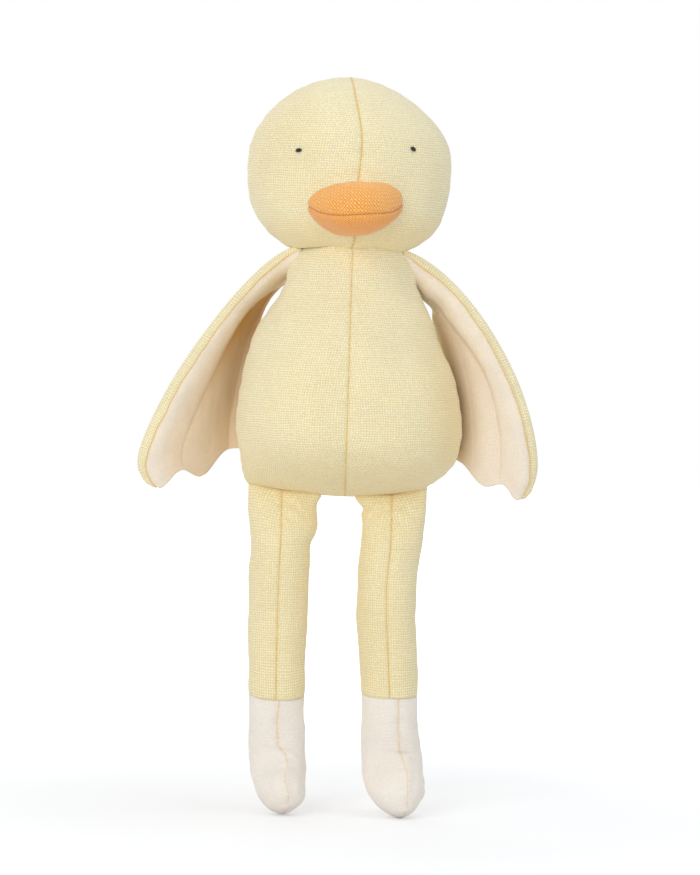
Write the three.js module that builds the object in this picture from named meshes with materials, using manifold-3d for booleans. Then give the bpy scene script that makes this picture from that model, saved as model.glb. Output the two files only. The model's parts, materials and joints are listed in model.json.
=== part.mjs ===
// A stuffed linen chick, 300 mm tall: a round head with a padded bill, a pear-shaped body, two cape
// wings and two long legs with cream feet. Millimetres, +Z up, the face looks along -Y, and left means
// the chick's own left (+X). The origin is the middle of the floor under the chick.
import * as THREE from 'three';
import { mergeVertices } from 'three/addons/utils/BufferGeometryUtils.js';
import Module from 'manifold-3d';

const wasm = await Module();
wasm.setup();

// Cloth and clearances
const linen = 1.0; // thickness of the yellow and orange linen with its seam allowance
const cotton = 0.8; // thickness of the cream cloth of the wing linings
const seamGap = 0.3; // clearance between panels that are sewn together
const fillGap = 0.45; // clearance between the cloth and what it is filled with
const neckGap = 0.6; // clearance of the head over the ball of the neck
const seamSlit = 0.1; // least half thickness of filling where two layers of cloth are sewn flat

// Body
const bodyWidth = 91.6;
const bodyDepth = 77;
const bodyWidestHeight = 158;
const bodyBottom = 129.4; // height of the bottom seam at its middle
const bottomSeamLength = 70;
const bottomSeamRise = 4.5; // how far the ends of the bottom seam sit above its middle
const bottomSeamThickness = 2.4;
const bodyShift = 3.3; // the body hangs this far to the chick's left of its legs

// Neck
const neckHeight = 229.5; // height of the seam between head and body
const neckWidth = 46;
const neckBallDrop = 14; // from the neck seam down to the middle of the ball that the head turns on

// Head
const headWidth = 83;
const headDepth = 74;
const headTop = 300;
const headWidestHeight = 264.5;
const headUnderHeight = 227.5; // height at which the underside of the head would close
const headShift = -2.4; // the head sits this far to the chick's right of its neck
const headTurn = 4; // degrees that the face looks to the chick's left

// Bill
const billLength = 42; // from corner to corner
const billSeamHeight = 245;
const billUpperRise = 14.4;
const billLowerDrop = 10.2;
const billReach = 15; // how far it stands out of the face
const billBury = 4; // how far the middle of its form lies inside the face
const billBackTurn = -35; // degrees that its cloth turns back towards the face past the middle

// Eyes
const eyeSpacing = 46.6;
const eyeHeight = 271;
const eyeLength = 2.6;
const eyeBreadth = 1.9;
const eyeThickness = 1.6;
const eyeSlant = 22; // degrees, with the inner ends higher

// Wings
const wingSpan = 163.2; // across both wings
const wingTopReach = 27.5; // from the middle of the body to the outside of the leading edge at its top
const wingTopDrop = 4; // from the neck seam down to the middle of the leading edge at its top
const wingBulge = { left: 0.74, right: 0.5 }; // how soon each leading edge swings out, as a share
const wingWidestHeight = 140; // height at which the leading edge reaches the span
const wingRootHeight = 13.8; // length of the root seam down the side of the body
const wingTopBack = 1; // how far behind the side seam the root starts
const wingRootBack = 1.5; // how far behind the side seam the root ends
const wingForward = 6; // how far the leading edge swings in front of the side seams
const wingBack = 20; // how far the lower end of the trailing edge hangs behind the side seams
const wingTrailingReach = 42; // from the middle of the body to that end
const wingTrailingLeave = { reach: 36.7, back: 10, drop: 9 }; // where the edge turns away from the armpit
const wingTrailingHang = { reach: 40.2, back: 25, drop: 32 }; // where it turns down behind the flank
const wingHem = 147; // height of the trailing edge's lower end
const wingHemDip = 2.3; // how far the lower edge dips beside the hem
const wingTipHeight = 129.7; // lowest point of the wing tip
const wingValleyHeight = 137; // notch between the two scallops
const wingLobeHeight = 135; // lowest point of the inner scallop
const wingBand = 5.2; // width of yellow linen that shows round the padded leading edge
const wingBandShare = 0.25; // most of the wing's own width that the band takes
const wingRoll = 1.7; // half thickness of the wadding in the padded leading edge
const wingFill = 0.3; // half thickness of the wadding elsewhere

// Where the wing's outline turns, as shares: out of the way from root to tip, inwards of the way from tip to
// trailing edge, fall of the leading edge's drop, forward and back of the distances named so above, and
// shift of the body's own shift.
const wingShoulder = { fall: 0.3, forward: 0.6 };
const wingElbow = { out: 0.945, fall: 0.66, forward: 1.3, shift: 0.1 };
const wingTip = { inwards: 0.12, forward: 0.9, shift: 0 };
const wingValley = { inwards: 0.36, forward: 0.4, shift: 0.2 };
const wingLobe = { inwards: 0.56, back: 0.1, shift: 0.35 };
const wingInnerEdge = { inwards: 0.8, back: 0.52, shift: 0.7 };

// Legs and feet
const legSpacing = 44.4;
const legTopWidth = 28;
const legWidth = 24.4;
const legDepth = 24;
const legTopTaper = 26; // length over which the leg thins to its flat sewn top
const legTopThickness = 2.4;
const ankleWidth = 23;
const footStraight = 19; // from the ankle seam down to the start of the bend
const footBendRadius = 15;
const footBend = 55; // degrees that the foot bends forwards
const footLength = 9; // from the end of the bend to the start of the toe cap
const footWidth = 24;
const footDepth = 21;
const toeLength = 11;
const toeTurn = { left: 19, right: 11 }; // degrees that the feet turn, both to the chick's left
const toeFlat = 0.5; // depth of the flat on which the toes stand

// Facets
const turnSteps = 5; // in a quarter turn of the head and body
const legTurnSteps = 6; // in a half turn of a leg
const capSteps = 3; // rows over the top of the neck ball
const flankSteps = 4; // rows of the body above its widest height
const bellySteps = 4; // rows of the body below its widest height
const headSteps = 10; // rows from the crown to the underside
const billSteps = 8;
const billTurnSteps = 4;
const legSteps = 4; // rows in the straight part of a leg
const legTopSteps = 3; // rows in its tapered top
const footBendSteps = 3;
const toeSteps = 3;
const wingRows = 6;
const wingRowPower = 1.4; // above 1, the rows are closer at the root
const wingRollColumns = 4; // across the padded leading edge, twice the width of its band
const wingColumns = 4; // across the rest
const wrapSteps = 4; // round the padded leading edge
const ballTurns = 28;
const ballRows = 18;
const eyeTurns = 8;
const eyeRows = 4;

// Shape exponents
const flankPower = 1.6; // how long the flank stays full below the neck
const bellyPower = 1.6; // how blunt the wedge of the belly is
const cheekPower = 2.85; // how square the lower half of the head is
const billPower = 0.7; // how full the corners of the bill are
const scallopPower = 3; // how soon the scallops fade above the wing's lower edge
const drapePower = { left: 3, right: 1.2 }; // how long each wing stays level before it swings back
const legTopPower = 1.35; // how quickly the leg fills out below its sewn top

const weldDistance = 1e-4; // corners closer than this are one

const degrees = THREE.MathUtils.degToRad;
const lerp = THREE.MathUtils.lerp;
const stuffingInset = linen + fillGap; // from the outside of the linen in to the filling
const at = (x, y, z) => new THREE.Vector3(x, y, z);
const upwards = at(0, 0, 1);
const steps = (count) => Array.from({ length: count + 1 }, (_, i) => i / count);

const yellowLinen = new THREE.MeshStandardMaterial({ color: 0xf0e7c0, roughness: 0.95, metalness: 0 });
const orangeLinen = new THREE.MeshStandardMaterial({ color: 0xf6b86a, roughness: 0.95, metalness: 0 });
const creamCotton = new THREE.MeshStandardMaterial({ color: 0xeee3d4, roughness: 0.95, metalness: 0 });
const blackThread = new THREE.MeshStandardMaterial({ color: 0x17130f, roughness: 0.8, metalness: 0 });
const whiteFilling = new THREE.MeshStandardMaterial({ color: 0xf4f3ef, roughness: 1, metalness: 0 });

// Closed meshes

// Joins loose triangles into one closed geometry that faces outwards.
function closed(soup) {
  const loose = new THREE.BufferGeometry().setFromPoints(soup);
  const welded = mergeVertices(loose, weldDistance);
  const place = welded.getAttribute('position');
  const corners = [];
  let volume = 0;
  for (let i = 0; i < welded.index.count; i += 3) {
    const [a, b, c] = [0, 1, 2].map((k) => welded.index.getX(i + k));
    if (a === b || b === c || a === c) continue;
    corners.push(a, b, c);
    const [p, q, r] = [a, b, c].map((k) => new THREE.Vector3().fromBufferAttribute(place, k));
    volume += p.dot(q.cross(r));
  }
  welded.setIndex(volume < 0 ? corners.reverse() : corners);
  return welded;
}

// Two triangles for the four corners of a patch, split along its shorter diagonal. Corners that were laid
// off from a sheet are measured on that sheet, so that all layers of a wing split alike.
function patch(a, b, c, d) {
  const apart = (p, q) => (p.sheetPoint ?? p).distanceTo(q.sheetPoint ?? q);
  return apart(a, c) <= apart(b, d) ? [a, b, c, a, c, d] : [a, b, d, b, c, d];
}

// A wall between an outer and an inner grid of points, closed along all four edges.
function wall(outer, inner) {
  const soup = [];
  const rows = outer.length - 1;
  const columns = outer[0].length - 1;
  const quad = (...corners) => soup.push(...patch(...corners));
  for (let i = 0; i < rows; i++) {
    for (let j = 0; j < columns; j++) {
      quad(outer[i][j], outer[i][j + 1], outer[i + 1][j + 1], outer[i + 1][j]);
      quad(inner[i][j], inner[i + 1][j], inner[i + 1][j + 1], inner[i][j + 1]);
    }
    quad(outer[i][0], outer[i + 1][0], inner[i + 1][0], inner[i][0]);
    quad(inner[i][columns], inner[i + 1][columns], outer[i + 1][columns], outer[i][columns]);
  }
  for (let j = 0; j < columns; j++) {
    quad(inner[0][j], inner[0][j + 1], outer[0][j + 1], outer[0][j]);
    quad(outer[rows][j], outer[rows][j + 1], inner[rows][j + 1], inner[rows][j]);
  }
  return closed(soup);
}

// A filled form from a grid whose rows are closed rings, with each end closed on its middle.
function filled(grid) {
  const soup = [];
  const rows = grid.length - 1;
  const columns = grid[0].length - 1;
  const middle = (row) => row.slice(1).reduce((sum, p) => sum.add(p), at(0, 0, 0)).divideScalar(columns);
  const [first, last] = [middle(grid[0]), middle(grid[rows])];
  for (let j = 0; j < columns; j++) {
    soup.push(first, grid[0][j + 1], grid[0][j]);
    soup.push(last, grid[rows][j], grid[rows][j + 1]);
    for (let i = 0; i < rows; i++) {
      soup.push(...patch(grid[i][j], grid[i][j + 1], grid[i + 1][j + 1], grid[i + 1][j]));
    }
  }
  return closed(soup);
}

function solid(geometry) {
  const vertProperties = new Float32Array(geometry.getAttribute('position').array);
  const triVerts = new Uint32Array(geometry.index.array);
  return new wasm.Manifold(new wasm.Mesh({ numProp: 3, vertProperties, triVerts }));
}

// The largest body that is left of a geometry when the other closed geometries are cut away from it.
function cut(geometry, ...tools) {
  const left = tools.reduce((body, tool) => body.subtract(solid(tool)), solid(geometry));
  const [largest] = left.decompose().sort((a, b) => b.volume() - a.volume());
  const { vertProperties, triVerts } = largest.getMesh();
  const result = new THREE.BufferGeometry();
  result.setAttribute('position', new THREE.BufferAttribute(vertProperties, 3));
  result.setIndex(new THREE.BufferAttribute(triVerts, 1));
  return result;
}

// A library form as a closed geometry that holds nothing but its corners.
function bare(form) {
  const place = form.getAttribute('position');
  return closed([...form.index.array].map((i) => at(0, 0, 0).fromBufferAttribute(place, i)));
}

function ball(radius, x, y, z) {
  const form = new THREE.SphereGeometry(radius, ballTurns, ballRows);
  return bare(form.rotateX(Math.PI / 2).translate(x, y, z));
}

// Rings of an upright form. A level is { z, width, depth, rise }: the half width and half depth of an
// ellipse at height z, whose ends along X rise above its middle. Panels start half a seam gap out.
function ring(level, turns, sideX, sideY, startX, startY) {
  return turns.map((turn) => {
    const x = startX + Math.max(level.width - startX, 0) * Math.cos(turn);
    const y = startY + Math.max(level.depth - startY, 0) * Math.sin(turn);
    return at(sideX * x, sideY * y, level.z + level.rise * Math.cos(turn) ** 2);
  });
}

const quarterTurns = steps(turnSteps).map((t) => (t * Math.PI) / 2);
const fullTurns = steps(4 * turnSteps).map((t) => t * 2 * Math.PI);

function quarterPanel(levelsAt, sideX, sideY) {
  const grid = (inset) =>
    levelsAt(inset).map((level) => ring(level, quarterTurns, sideX, sideY, seamGap / 2, seamGap / 2));
  return wall(grid(0), grid(linen));
}

function fullForm(levelsAt, inset) {
  return filled(levelsAt(inset).map((level) => ring(level, fullTurns, 1, 1, 0, 0)));
}

// Body: a pear on a ball neck, pinched to a seam at the bottom.

const neckBallHeight = neckHeight - neckBallDrop;
const neckBallRadius = Math.hypot(neckWidth / 2, neckBallDrop);

// Half width or half depth of the body from its widest height up to the neck.
function flank(z, widest, inset) {
  const t = Math.min((z - bodyWidestHeight) / (neckHeight - bodyWidestHeight), 1);
  const pear = neckWidth / 2 + (widest - neckWidth / 2) * (1 - t * t) ** flankPower - inset;
  const radius = neckBallRadius - inset;
  const above = Math.max(z - neckBallHeight, 0);
  const neck = Math.sqrt(Math.max(radius * radius - above * above, 0));
  return Math.max(neck, z > neckHeight ? 0 : pear);
}

function bodyLevels(inset) {
  const levels = [];
  const radius = neckBallRadius - inset;
  const rimAngle = Math.atan2(neckWidth / 2, neckBallDrop);
  for (const t of steps(capSteps)) {
    const z = neckBallHeight + radius * Math.cos(t * rimAngle);
    const across = radius * Math.sin(t * rimAngle);
    levels.push({ z, width: across, depth: across, rise: 0 });
  }
  for (const t of steps(flankSteps).slice(1)) {
    const z = lerp(neckHeight, bodyWidestHeight, t);
    const width = flank(z, bodyWidth / 2, inset);
    const depth = flank(z, bodyDepth / 2, inset);
    levels.push({ z, width, depth, rise: 0 });
  }
  const bottom = bodyBottom + inset;
  for (const t of steps(bellySteps).slice(1)) {
    const seam = Math.max(bottomSeamThickness / 2 - inset, seamSlit);
    const fall = Math.sin((t * Math.PI) / 2);
    levels.push({
      z: lerp(bodyWidestHeight, bottom, fall),
      width: lerp(bodyWidth / 2, bottomSeamLength / 2, 1 - Math.cos((t * Math.PI) / 2)) - inset,
      depth: seam + (bodyDepth / 2 - inset - seam) * (1 - fall ** bellyPower),
      rise: bottomSeamRise * t * t,
    });
  }
  levels.push({ ...levels[levels.length - 1], depth: 0 });
  return levels;
}

// The same levels without the one that closes the bottom seam.
const openBodyLevels = (inset) => bodyLevels(inset).slice(0, -1);

// Height of the bottom seam at a distance from the middle of the body.
function bottomSeam(x) {
  const share = Math.min(Math.abs(x) / (bottomSeamLength / 2), 1);
  return bodyBottom + bottomSeamRise * share * share;
}

// Head: half an ellipsoid over a squarer underside, which is hollowed to sit on the ball of the neck.

function headLevels(inset) {
  return steps(headSteps).map((t) => {
    const turn = t * Math.PI;
    const power = t < 0.5 ? 1 : 2 / cheekPower;
    const height = t < 0.5 ? headTop - headWidestHeight : headWidestHeight - headUnderHeight;
    const across = Math.max(Math.sin(turn), 0) ** power;
    const up = Math.sign(Math.cos(turn)) * Math.abs(Math.cos(turn)) ** power;
    return {
      z: headWidestHeight + (height - inset) * up,
      width: (headWidth / 2 - inset) * across,
      depth: (headDepth / 2 - inset) * across,
      rise: 0,
    };
  });
}

// How far in front of the head's middle its face lies at a place on it.
function faceDepth(x, z) {
  const power = z > headWidestHeight ? 2 : cheekPower;
  const height = z > headWidestHeight ? headTop - headWidestHeight : headWidestHeight - headUnderHeight;
  const share = (1 - (Math.abs(z - headWidestHeight) / height) ** power) ** (1 / power);
  return (headDepth / 2) * Math.sqrt(Math.max(share * share - (x / (headWidth / 2)) ** 2, 0));
}

// Bill: a lens laid along X whose middle line follows the face, split at its mouth seam.

function billRow(across, rise, inset) {
  const x = (across * billLength) / 2;
  const fullness = Math.max(1 - across * across, 0) ** billPower;
  const middle = -faceDepth(x, billSeamHeight) + billBury;
  const size = (length) => Math.max(length * fullness - inset, 0);
  return steps(billTurnSteps).map((t) => {
    const turn = lerp(degrees(billBackTurn), Math.PI / 2, t);
    const start = (Math.sign(rise) * seamGap) / 2;
    const z = billSeamHeight + start + Math.sign(rise) * size(Math.abs(rise)) * Math.cos(turn);
    return at(x, middle - size(billReach + billBury) * Math.sin(turn), z);
  });
}

// How wide each bill row runs, stopping where the cloth still has an inside.
const billAcross = steps(billSteps).map((t) => lerp(-1, 1, t) * (1 - linen / billReach));

function billPanel(rise) {
  const grid = (inset) => billAcross.map((across) => billRow(across, rise, inset));
  return wall(grid(0), grid(linen));
}

function billFilling() {
  const rows = billAcross.slice(1, -1).map((across) => {
    const upper = billRow(across, billUpperRise, stuffingInset);
    const lower = billRow(across, -billLowerDrop, stuffingInset).reverse();
    return [...upper, ...lower, upper[0]];
  });
  return filled(rows);
}

// Eye: a short fat stitch that lies on the face.

function eye(side) {
  const x = (side * eyeSpacing) / 2;
  const [from, to] = [x - eyeLength / 2, x + eyeLength / 2];
  const lean = Math.atan2(faceDepth(from, eyeHeight) - faceDepth(to, eyeHeight), to - from);
  const form = new THREE.SphereGeometry(1, eyeTurns, eyeRows);
  form.scale(eyeLength / 2, eyeThickness / 2, eyeBreadth / 2);
  form.rotateY(side * degrees(eyeSlant)).rotateZ(lean);
  return bare(form.translate(x, -faceDepth(x, eyeHeight) - seamGap, eyeHeight));
}

// Wings: a curved sheet between four edges, with its padding, lining and outer cloth laid off from it.

// Three edges for one side, each a curve from 0 to 1, which hang from a straight root. They are placed from
// the middle of the body at the root and from the middle of the chick at the tip.
function wingEdges(side, bulge) {
  const spot = (reach, y, z, share) => at(side * reach + bodyShift * share, y, z);
  const edge = wingRoll + fillGap + linen;
  const tip = wingSpan / 2 - edge;
  const start = wingTopReach - edge;
  const drop = neckHeight - wingWidestHeight;
  const rootEnd = neckHeight - wingRootHeight;
  const top = spot(start, wingTopBack, neckHeight - wingTopDrop, 1);
  const widest = spot(tip, -wingForward, wingWidestHeight, 0);
  const armpit = spot(flank(rootEnd, bodyWidth / 2, 0), wingRootBack, rootEnd, 1);
  const hem = spot(wingTrailingReach, wingBack, wingHem, 1);
  const leadPoint = ({ out, fall, forward, shift }) =>
    spot(lerp(start, tip, out), -wingForward * forward, neckHeight - fall * drop, shift);
  const leading = new THREE.CubicBezierCurve3(
    top,
    leadPoint({ ...wingShoulder, out: bulge, shift: 1 - bulge }),
    leadPoint(wingElbow),
    widest,
  );
  const trailPoint = ({ reach, back, drop: below }) => spot(reach, back, rootEnd - below, 1);
  const trailing = new THREE.CubicBezierCurve3(
    armpit,
    trailPoint(wingTrailingLeave),
    trailPoint(wingTrailingHang),
    hem,
  );
  const lowPoint = ({ inwards, forward = 0, back = 0, shift }, z) =>
    spot(lerp(tip, wingTrailingReach, inwards), wingBack * back - wingForward * forward, z, shift);
  const bottom = new THREE.CatmullRomCurve3([
    widest,
    lowPoint(wingTip, wingTipHeight),
    lowPoint(wingValley, wingValleyHeight),
    lowPoint(wingLobe, wingLobeHeight),
    lowPoint(wingInnerEdge, wingHem - wingHemDip),
    hem,
  ]);
  return { leading, trailing, bottom };
}

// A sheet ruled between the leading and trailing edges, which takes on the scallops towards its lower edge.
function wingSheet(side, bulge, drape) {
  const { leading, trailing, bottom } = wingEdges(side, bulge);
  return (u, v) => {
    const straight = bottom.getPoint(0).lerp(bottom.getPoint(1), u);
    straight.y = lerp(bottom.getPoint(0).y, bottom.getPoint(1).y, u ** drape);
    const scallop = bottom.getPoint(u).sub(straight);
    const [front, back] = [leading.getPoint(v), trailing.getPoint(v)];
    const ruled = front.clone().lerp(back, u);
    ruled.y = lerp(front.y, back.y, u ** drape);
    return ruled.addScaledVector(scallop, v ** scallopPower);
  };
}

// The sheet's frame at a place: the point, the way off its back, and the way out past its leading edge.
function wingFrame(sheet, side, u, v) {
  const near = 1e-3; // step along the sheet over which its slopes are taken
  const [u0, u1] = [Math.max(u - near, 0), Math.min(u + near, 1)];
  const [v0, v1] = [Math.max(v - near, 0), Math.min(v + near, 1)];
  const inwards = sheet(u1, v).sub(sheet(u0, v)).normalize();
  const downwards = sheet(u, v1).sub(sheet(u, v0)).normalize();
  const back = downwards.clone().cross(inwards).multiplyScalar(side).normalize();
  const out = back.clone().cross(downwards).multiplyScalar(-side).normalize();
  return { point: sheet(u, v), back, out };
}

// The band that shows, narrower where the wing itself is narrow.
const bandWidth = (chord) => Math.min(wingBand, chord * wingBandShare);

// Half of the padding's thickness: a roll along the leading edge that thins to a flat sheet.
function wingHalf(u, chord) {
  const along = Math.min((u * chord) / (2 * bandWidth(chord)), 1);
  return lerp(wingRoll, wingFill, along * along * (3 - 2 * along)) + fillGap;
}

function wingPieces(side, bulge, drape, ...neighbours) {
  const sheet = wingSheet(side, bulge, drape);
  const rows = steps(wingRows).map((t) => t ** wingRowPower);
  const chord = (v) => sheet(0, v).distanceTo(sheet(1, v));
  const bandEnd = (v) => bandWidth(chord(v)) / chord(v);
  const rollColumns = (v) => steps(wingRollColumns).map((t) => 2 * t * bandEnd(v));
  const restColumns = (v) => steps(wingColumns).slice(1).map((t) => lerp(2 * bandEnd(v), 1, t));
  const columns = (v) => [...rollColumns(v), ...restColumns(v)];
  const layOff = (u, v, backwards, outwards) => {
    const { point, back, out } = wingFrame(sheet, side, u, v);
    const place = point.clone().addScaledVector(back, backwards).addScaledVector(out, outwards);
    place.sheetPoint = point;
    return place;
  };
  const layer = (places, v, reach) => places.map((u) => layOff(u, v, reach(wingHalf(u, chord(v))), 0));
  const round = (v, extra) =>
    steps(wrapSteps).map((t) => {
      const turn = lerp(-Math.PI / 2, Math.PI / 2, t);
      const radius = wingHalf(0, chord(v)) + extra;
      return layOff(0, v, radius * Math.sin(turn), radius * Math.cos(turn));
    });
  const outerGrid = (extra) =>
    rows.map((v) => [
      ...layer([bandEnd(v), bandEnd(v) / 2], v, (half) => -half - extra),
      ...round(v, extra),
      ...layer(columns(v).slice(1), v, (half) => half + extra),
    ]);
  const beyondBand = (v) => columns(v).slice(wingRollColumns / 2 + 1);
  const liningColumns = (v) => [bandEnd(v) + seamGap / chord(v), ...beyondBand(v)];
  const liningGrid = (extra) => rows.map((v) => layer(liningColumns(v), v, (half) => -half - extra));
  const paddingGrid = (way) => rows.map((v) => layer(columns(v), v, (half) => way * (half - fillGap)));
  const trim = (geometry) => cut(geometry, ...neighbours);
  return {
    outer: trim(wall(outerGrid(linen), outerGrid(0))),
    lining: trim(wall(liningGrid(cotton), liningGrid(0))),
    wadding: trim(wall(paddingGrid(1), paddingGrid(-1))),
  };
}

// Legs and feet: sections along a line that drops from the bottom seam, then bends forwards into the toe.

// A section is { y, z, lean, width, depth, top }: its middle, how far it leans forwards, its half sizes, and
// how much of it follows the bottom seam of the body. The foot's sections run down from the ankle.
function footSections(inset) {
  const sections = [];
  const push = (y, z, lean, fullWidth, fullDepth) => {
    const width = Math.max(fullWidth - inset, 0);
    const depth = Math.max(fullDepth - inset, 0);
    sections.push({ y, z, lean, width, depth, top: 0 });
  };
  const bend = degrees(footBend);
  push(0, -seamGap / 2, 0, ankleWidth / 2, ankleWidth / 2);
  for (const t of steps(footBendSteps)) {
    const lean = t * bend;
    const y = -footBendRadius * (1 - Math.cos(lean));
    const z = -footStraight - footBendRadius * Math.sin(lean);
    push(y, z, lean, lerp(ankleWidth, footWidth, t) / 2, lerp(ankleWidth, footDepth, t) / 2);
  }
  const endY = -footBendRadius * (1 - Math.cos(bend));
  const endZ = -footStraight - footBendRadius * Math.sin(bend);
  for (const t of steps(toeSteps)) {
    const turn = (t * Math.PI) / 2;
    const along = footLength + (toeLength - inset) * Math.sin(turn);
    const close = t < 1 ? Math.cos(turn) : 0;
    const width = (footWidth / 2 - inset) * close + inset;
    const depth = (footDepth / 2 - inset) * close + inset;
    push(endY - along * Math.sin(bend), endZ - along * Math.cos(bend), bend, width, depth);
  }
  return sections;
}

// The leg's sections, from its flat sewn top down to the ankle at height zero.
function legSections(inset, legLength) {
  const half = legDepth / 2 - legTopThickness / 2;
  const filling = (t) => 1 - (1 - t) ** legTopPower;
  const need = Math.max((seamSlit + inset - legTopThickness / 2) / half, 0);
  const start = inset > 0 ? 1 - (1 - need) ** (1 / legTopPower) : 0;
  const section = (drop, depth) => {
    const t = Math.min(drop / legTopTaper, 1);
    const upper = lerp(legTopWidth, legWidth, t);
    const below = Math.max(drop - legTopTaper, 0) / (legLength - legTopTaper);
    const lower = lerp(legWidth, ankleWidth, below);
    const width = (drop < legTopTaper ? upper : lower) / 2 - inset;
    return { y: 0, z: legLength - drop, lean: 0, width, depth, top: 1 - t };
  };
  const taper = steps(legTopSteps).map((t) => {
    const share = lerp(start, 1, t);
    return section(share * legTopTaper, legTopThickness / 2 + half * filling(share) - inset);
  });
  const shaft = steps(legSteps).slice(1).map((t) => {
    const drop = lerp(legTopTaper, legLength - seamGap / 2, t);
    return section(drop, lerp(legDepth, ankleWidth, t) / 2 - inset);
  });
  return [{ ...taper[0], depth: seamSlit }, ...taper, ...shaft];
}

// The points of a section round a leg at legX. The top of the leg follows the bottom seam of the body.
function sectionRing(section, turns, side, start, legX, legTop) {
  return turns.map((turn) => {
    const x = start + Math.max(section.width - start, 0) * Math.cos(turn);
    const deep = section.depth * Math.sin(turn);
    const lift = section.top * (bottomSeam(legX + side * x - bodyShift) - seamGap - legTop);
    const y = section.y + deep * Math.cos(section.lean);
    return at(side * x, y, section.z - deep * Math.sin(section.lean) + lift);
  });
}

const halfTurns = steps(legTurnSteps).map((t) => (t - 0.5) * Math.PI);
const legTurns = steps(2 * legTurnSteps).map((t) => (2 * t - 0.5) * Math.PI);

// The foot hangs below its ankle seam by this much, before its toe is cut flat.
const footHang = -Math.min(
  ...footSections(0).flatMap((section) => sectionRing(section, halfTurns, 1, 0, 0, 0).map((p) => p.z)),
);
const ankleHeight = footHang - toeFlat;

// One leg with its foot, whose toe is turned to the chick's left and cut flat where it stands.
function legPieces(side, toeTurned) {
  const legX = (side * legSpacing) / 2;
  const inner = legX - (side * legTopWidth) / 2;
  const legTop = bottomSeam(inner - bodyShift) - seamGap;
  const legLength = legTop - ankleHeight;
  const half = (sectionsAt, sideX) => {
    const grid = (inset) =>
      sectionsAt(inset).map((section) => sectionRing(section, halfTurns, sideX, seamGap / 2, legX, legTop));
    return wall(grid(0), grid(linen));
  };
  const legSectionsAt = (inset) => legSections(inset, legLength);
  const ground = new THREE.BoxGeometry(wingSpan, wingSpan, ankleHeight).translate(0, 0, -ankleHeight / 2);
  const leg = (sideX) => half(legSectionsAt, sideX).translate(legX, 0, ankleHeight);
  const foot = (sideX) => {
    const hanging = half(footSections, sideX).rotateZ(degrees(toeTurned));
    return cut(hanging.translate(legX, 0, ankleHeight), bare(ground));
  };
  const rings = (sections, turned) =>
    sections.map((section) =>
      sectionRing(section, legTurns, 1, 0, legX, legTop).map((p) => p.applyAxisAngle(upwards, turned)),
    );
  const shank = rings(legSections(stuffingInset, legLength), 0);
  const sole = rings(footSections(stuffingInset), degrees(toeTurned));
  const stuffing = filled([...shank, ...sole]).translate(legX, 0, ankleHeight);
  return { leg, foot, stuffing };
}

// The chick, piece by piece

const chick = new THREE.Group();

function add(parent, name, geometry, material) {
  const mesh = new THREE.Mesh(geometry, material);
  mesh.name = name;
  parent.add(mesh);
}

const sides = { left: 1, right: -1 };
const faces = { front: -1, back: 1 };

const torso = new THREE.Group();
torso.position.x = bodyShift;
chick.add(torso);
for (const [face, sideY] of Object.entries(faces)) {
  for (const [side, sideX] of Object.entries(sides)) {
    add(torso, `body_${face}_${side}_panel`, quarterPanel(bodyLevels, sideX, sideY), yellowLinen);
  }
}
add(torso, 'body_stuffing', fullForm(openBodyLevels, stuffingInset), whiteFilling);

const head = new THREE.Group();
head.position.x = bodyShift;
head.rotation.z = degrees(headTurn);
chick.add(head);
const neckBall = ball(neckBallRadius + neckGap, -headShift, 0, neckBallHeight);
const skull = new THREE.Group();
skull.position.x = headShift;
head.add(skull);
for (const [face, sideY] of Object.entries(faces)) {
  for (const [side, sideX] of Object.entries(sides)) {
    const panel = cut(quarterPanel(headLevels, sideX, sideY), neckBall);
    add(skull, `head_${face}_${side}_panel`, panel, yellowLinen);
  }
}
add(skull, 'head_stuffing', cut(fullForm(headLevels, stuffingInset), neckBall), whiteFilling);
const headClear = fullForm(headLevels, -seamGap);
add(skull, 'bill_upper_panel', cut(billPanel(billUpperRise), headClear), orangeLinen);
add(skull, 'bill_lower_panel', cut(billPanel(-billLowerDrop), headClear), orangeLinen);
add(skull, 'bill_stuffing', cut(billFilling(), headClear), whiteFilling);
for (const [side, sideX] of Object.entries(sides)) {
  add(skull, `${side}_eye_stitch`, cut(eye(sideX), headClear), blackThread);
}

const bodyClear = fullForm(openBodyLevels, -seamGap).translate(bodyShift, 0, 0);
const headAbove = headClear.clone().translate(headShift, 0, 0);
headAbove.rotateZ(head.rotation.z).translate(bodyShift, 0, 0);
for (const [side, sideX] of Object.entries(sides)) {
  const { outer, lining, wadding } = wingPieces(sideX, wingBulge[side], drapePower[side], bodyClear, headAbove);
  add(chick, `${side}_wing_outer`, outer, yellowLinen);
  add(chick, `${side}_wing_lining`, lining, creamCotton);
  add(chick, `${side}_wing_wadding`, wadding, whiteFilling);
}

for (const [side, sideX] of Object.entries(sides)) {
  const { leg, foot, stuffing } = legPieces(sideX, toeTurn[side]);
  for (const [half, sideHalf] of Object.entries({ outer: sideX, inner: -sideX })) {
    add(chick, `${side}_leg_${half}_half`, leg(sideHalf), yellowLinen);
    add(chick, `${side}_foot_${half}_half`, foot(sideHalf), creamCotton);
  }
  add(chick, `${side}_leg_stuffing`, stuffing, whiteFilling);
}

// The origin is the middle of the box under the chick.
const box = new THREE.Box3().setFromObject(chick);
chick.position.x = -(box.min.x + box.max.x) / 2;
chick.position.y = -(box.min.y + box.max.y) / 2;

export default chick;
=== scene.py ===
"""A stuffed linen chick, 300 mm tall, facing -Y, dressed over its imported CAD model.

Shapes are worked out in millimetres and become metres when a mesh is made. Left and right are the chick's
own, so its left side is +X, on the viewer's right. Rows of a grid run down a form, and its columns run round
it from the front towards the chick's left.
"""
import json
import math

import bmesh
import bpy
import numpy as np
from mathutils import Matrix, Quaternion, Vector


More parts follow.
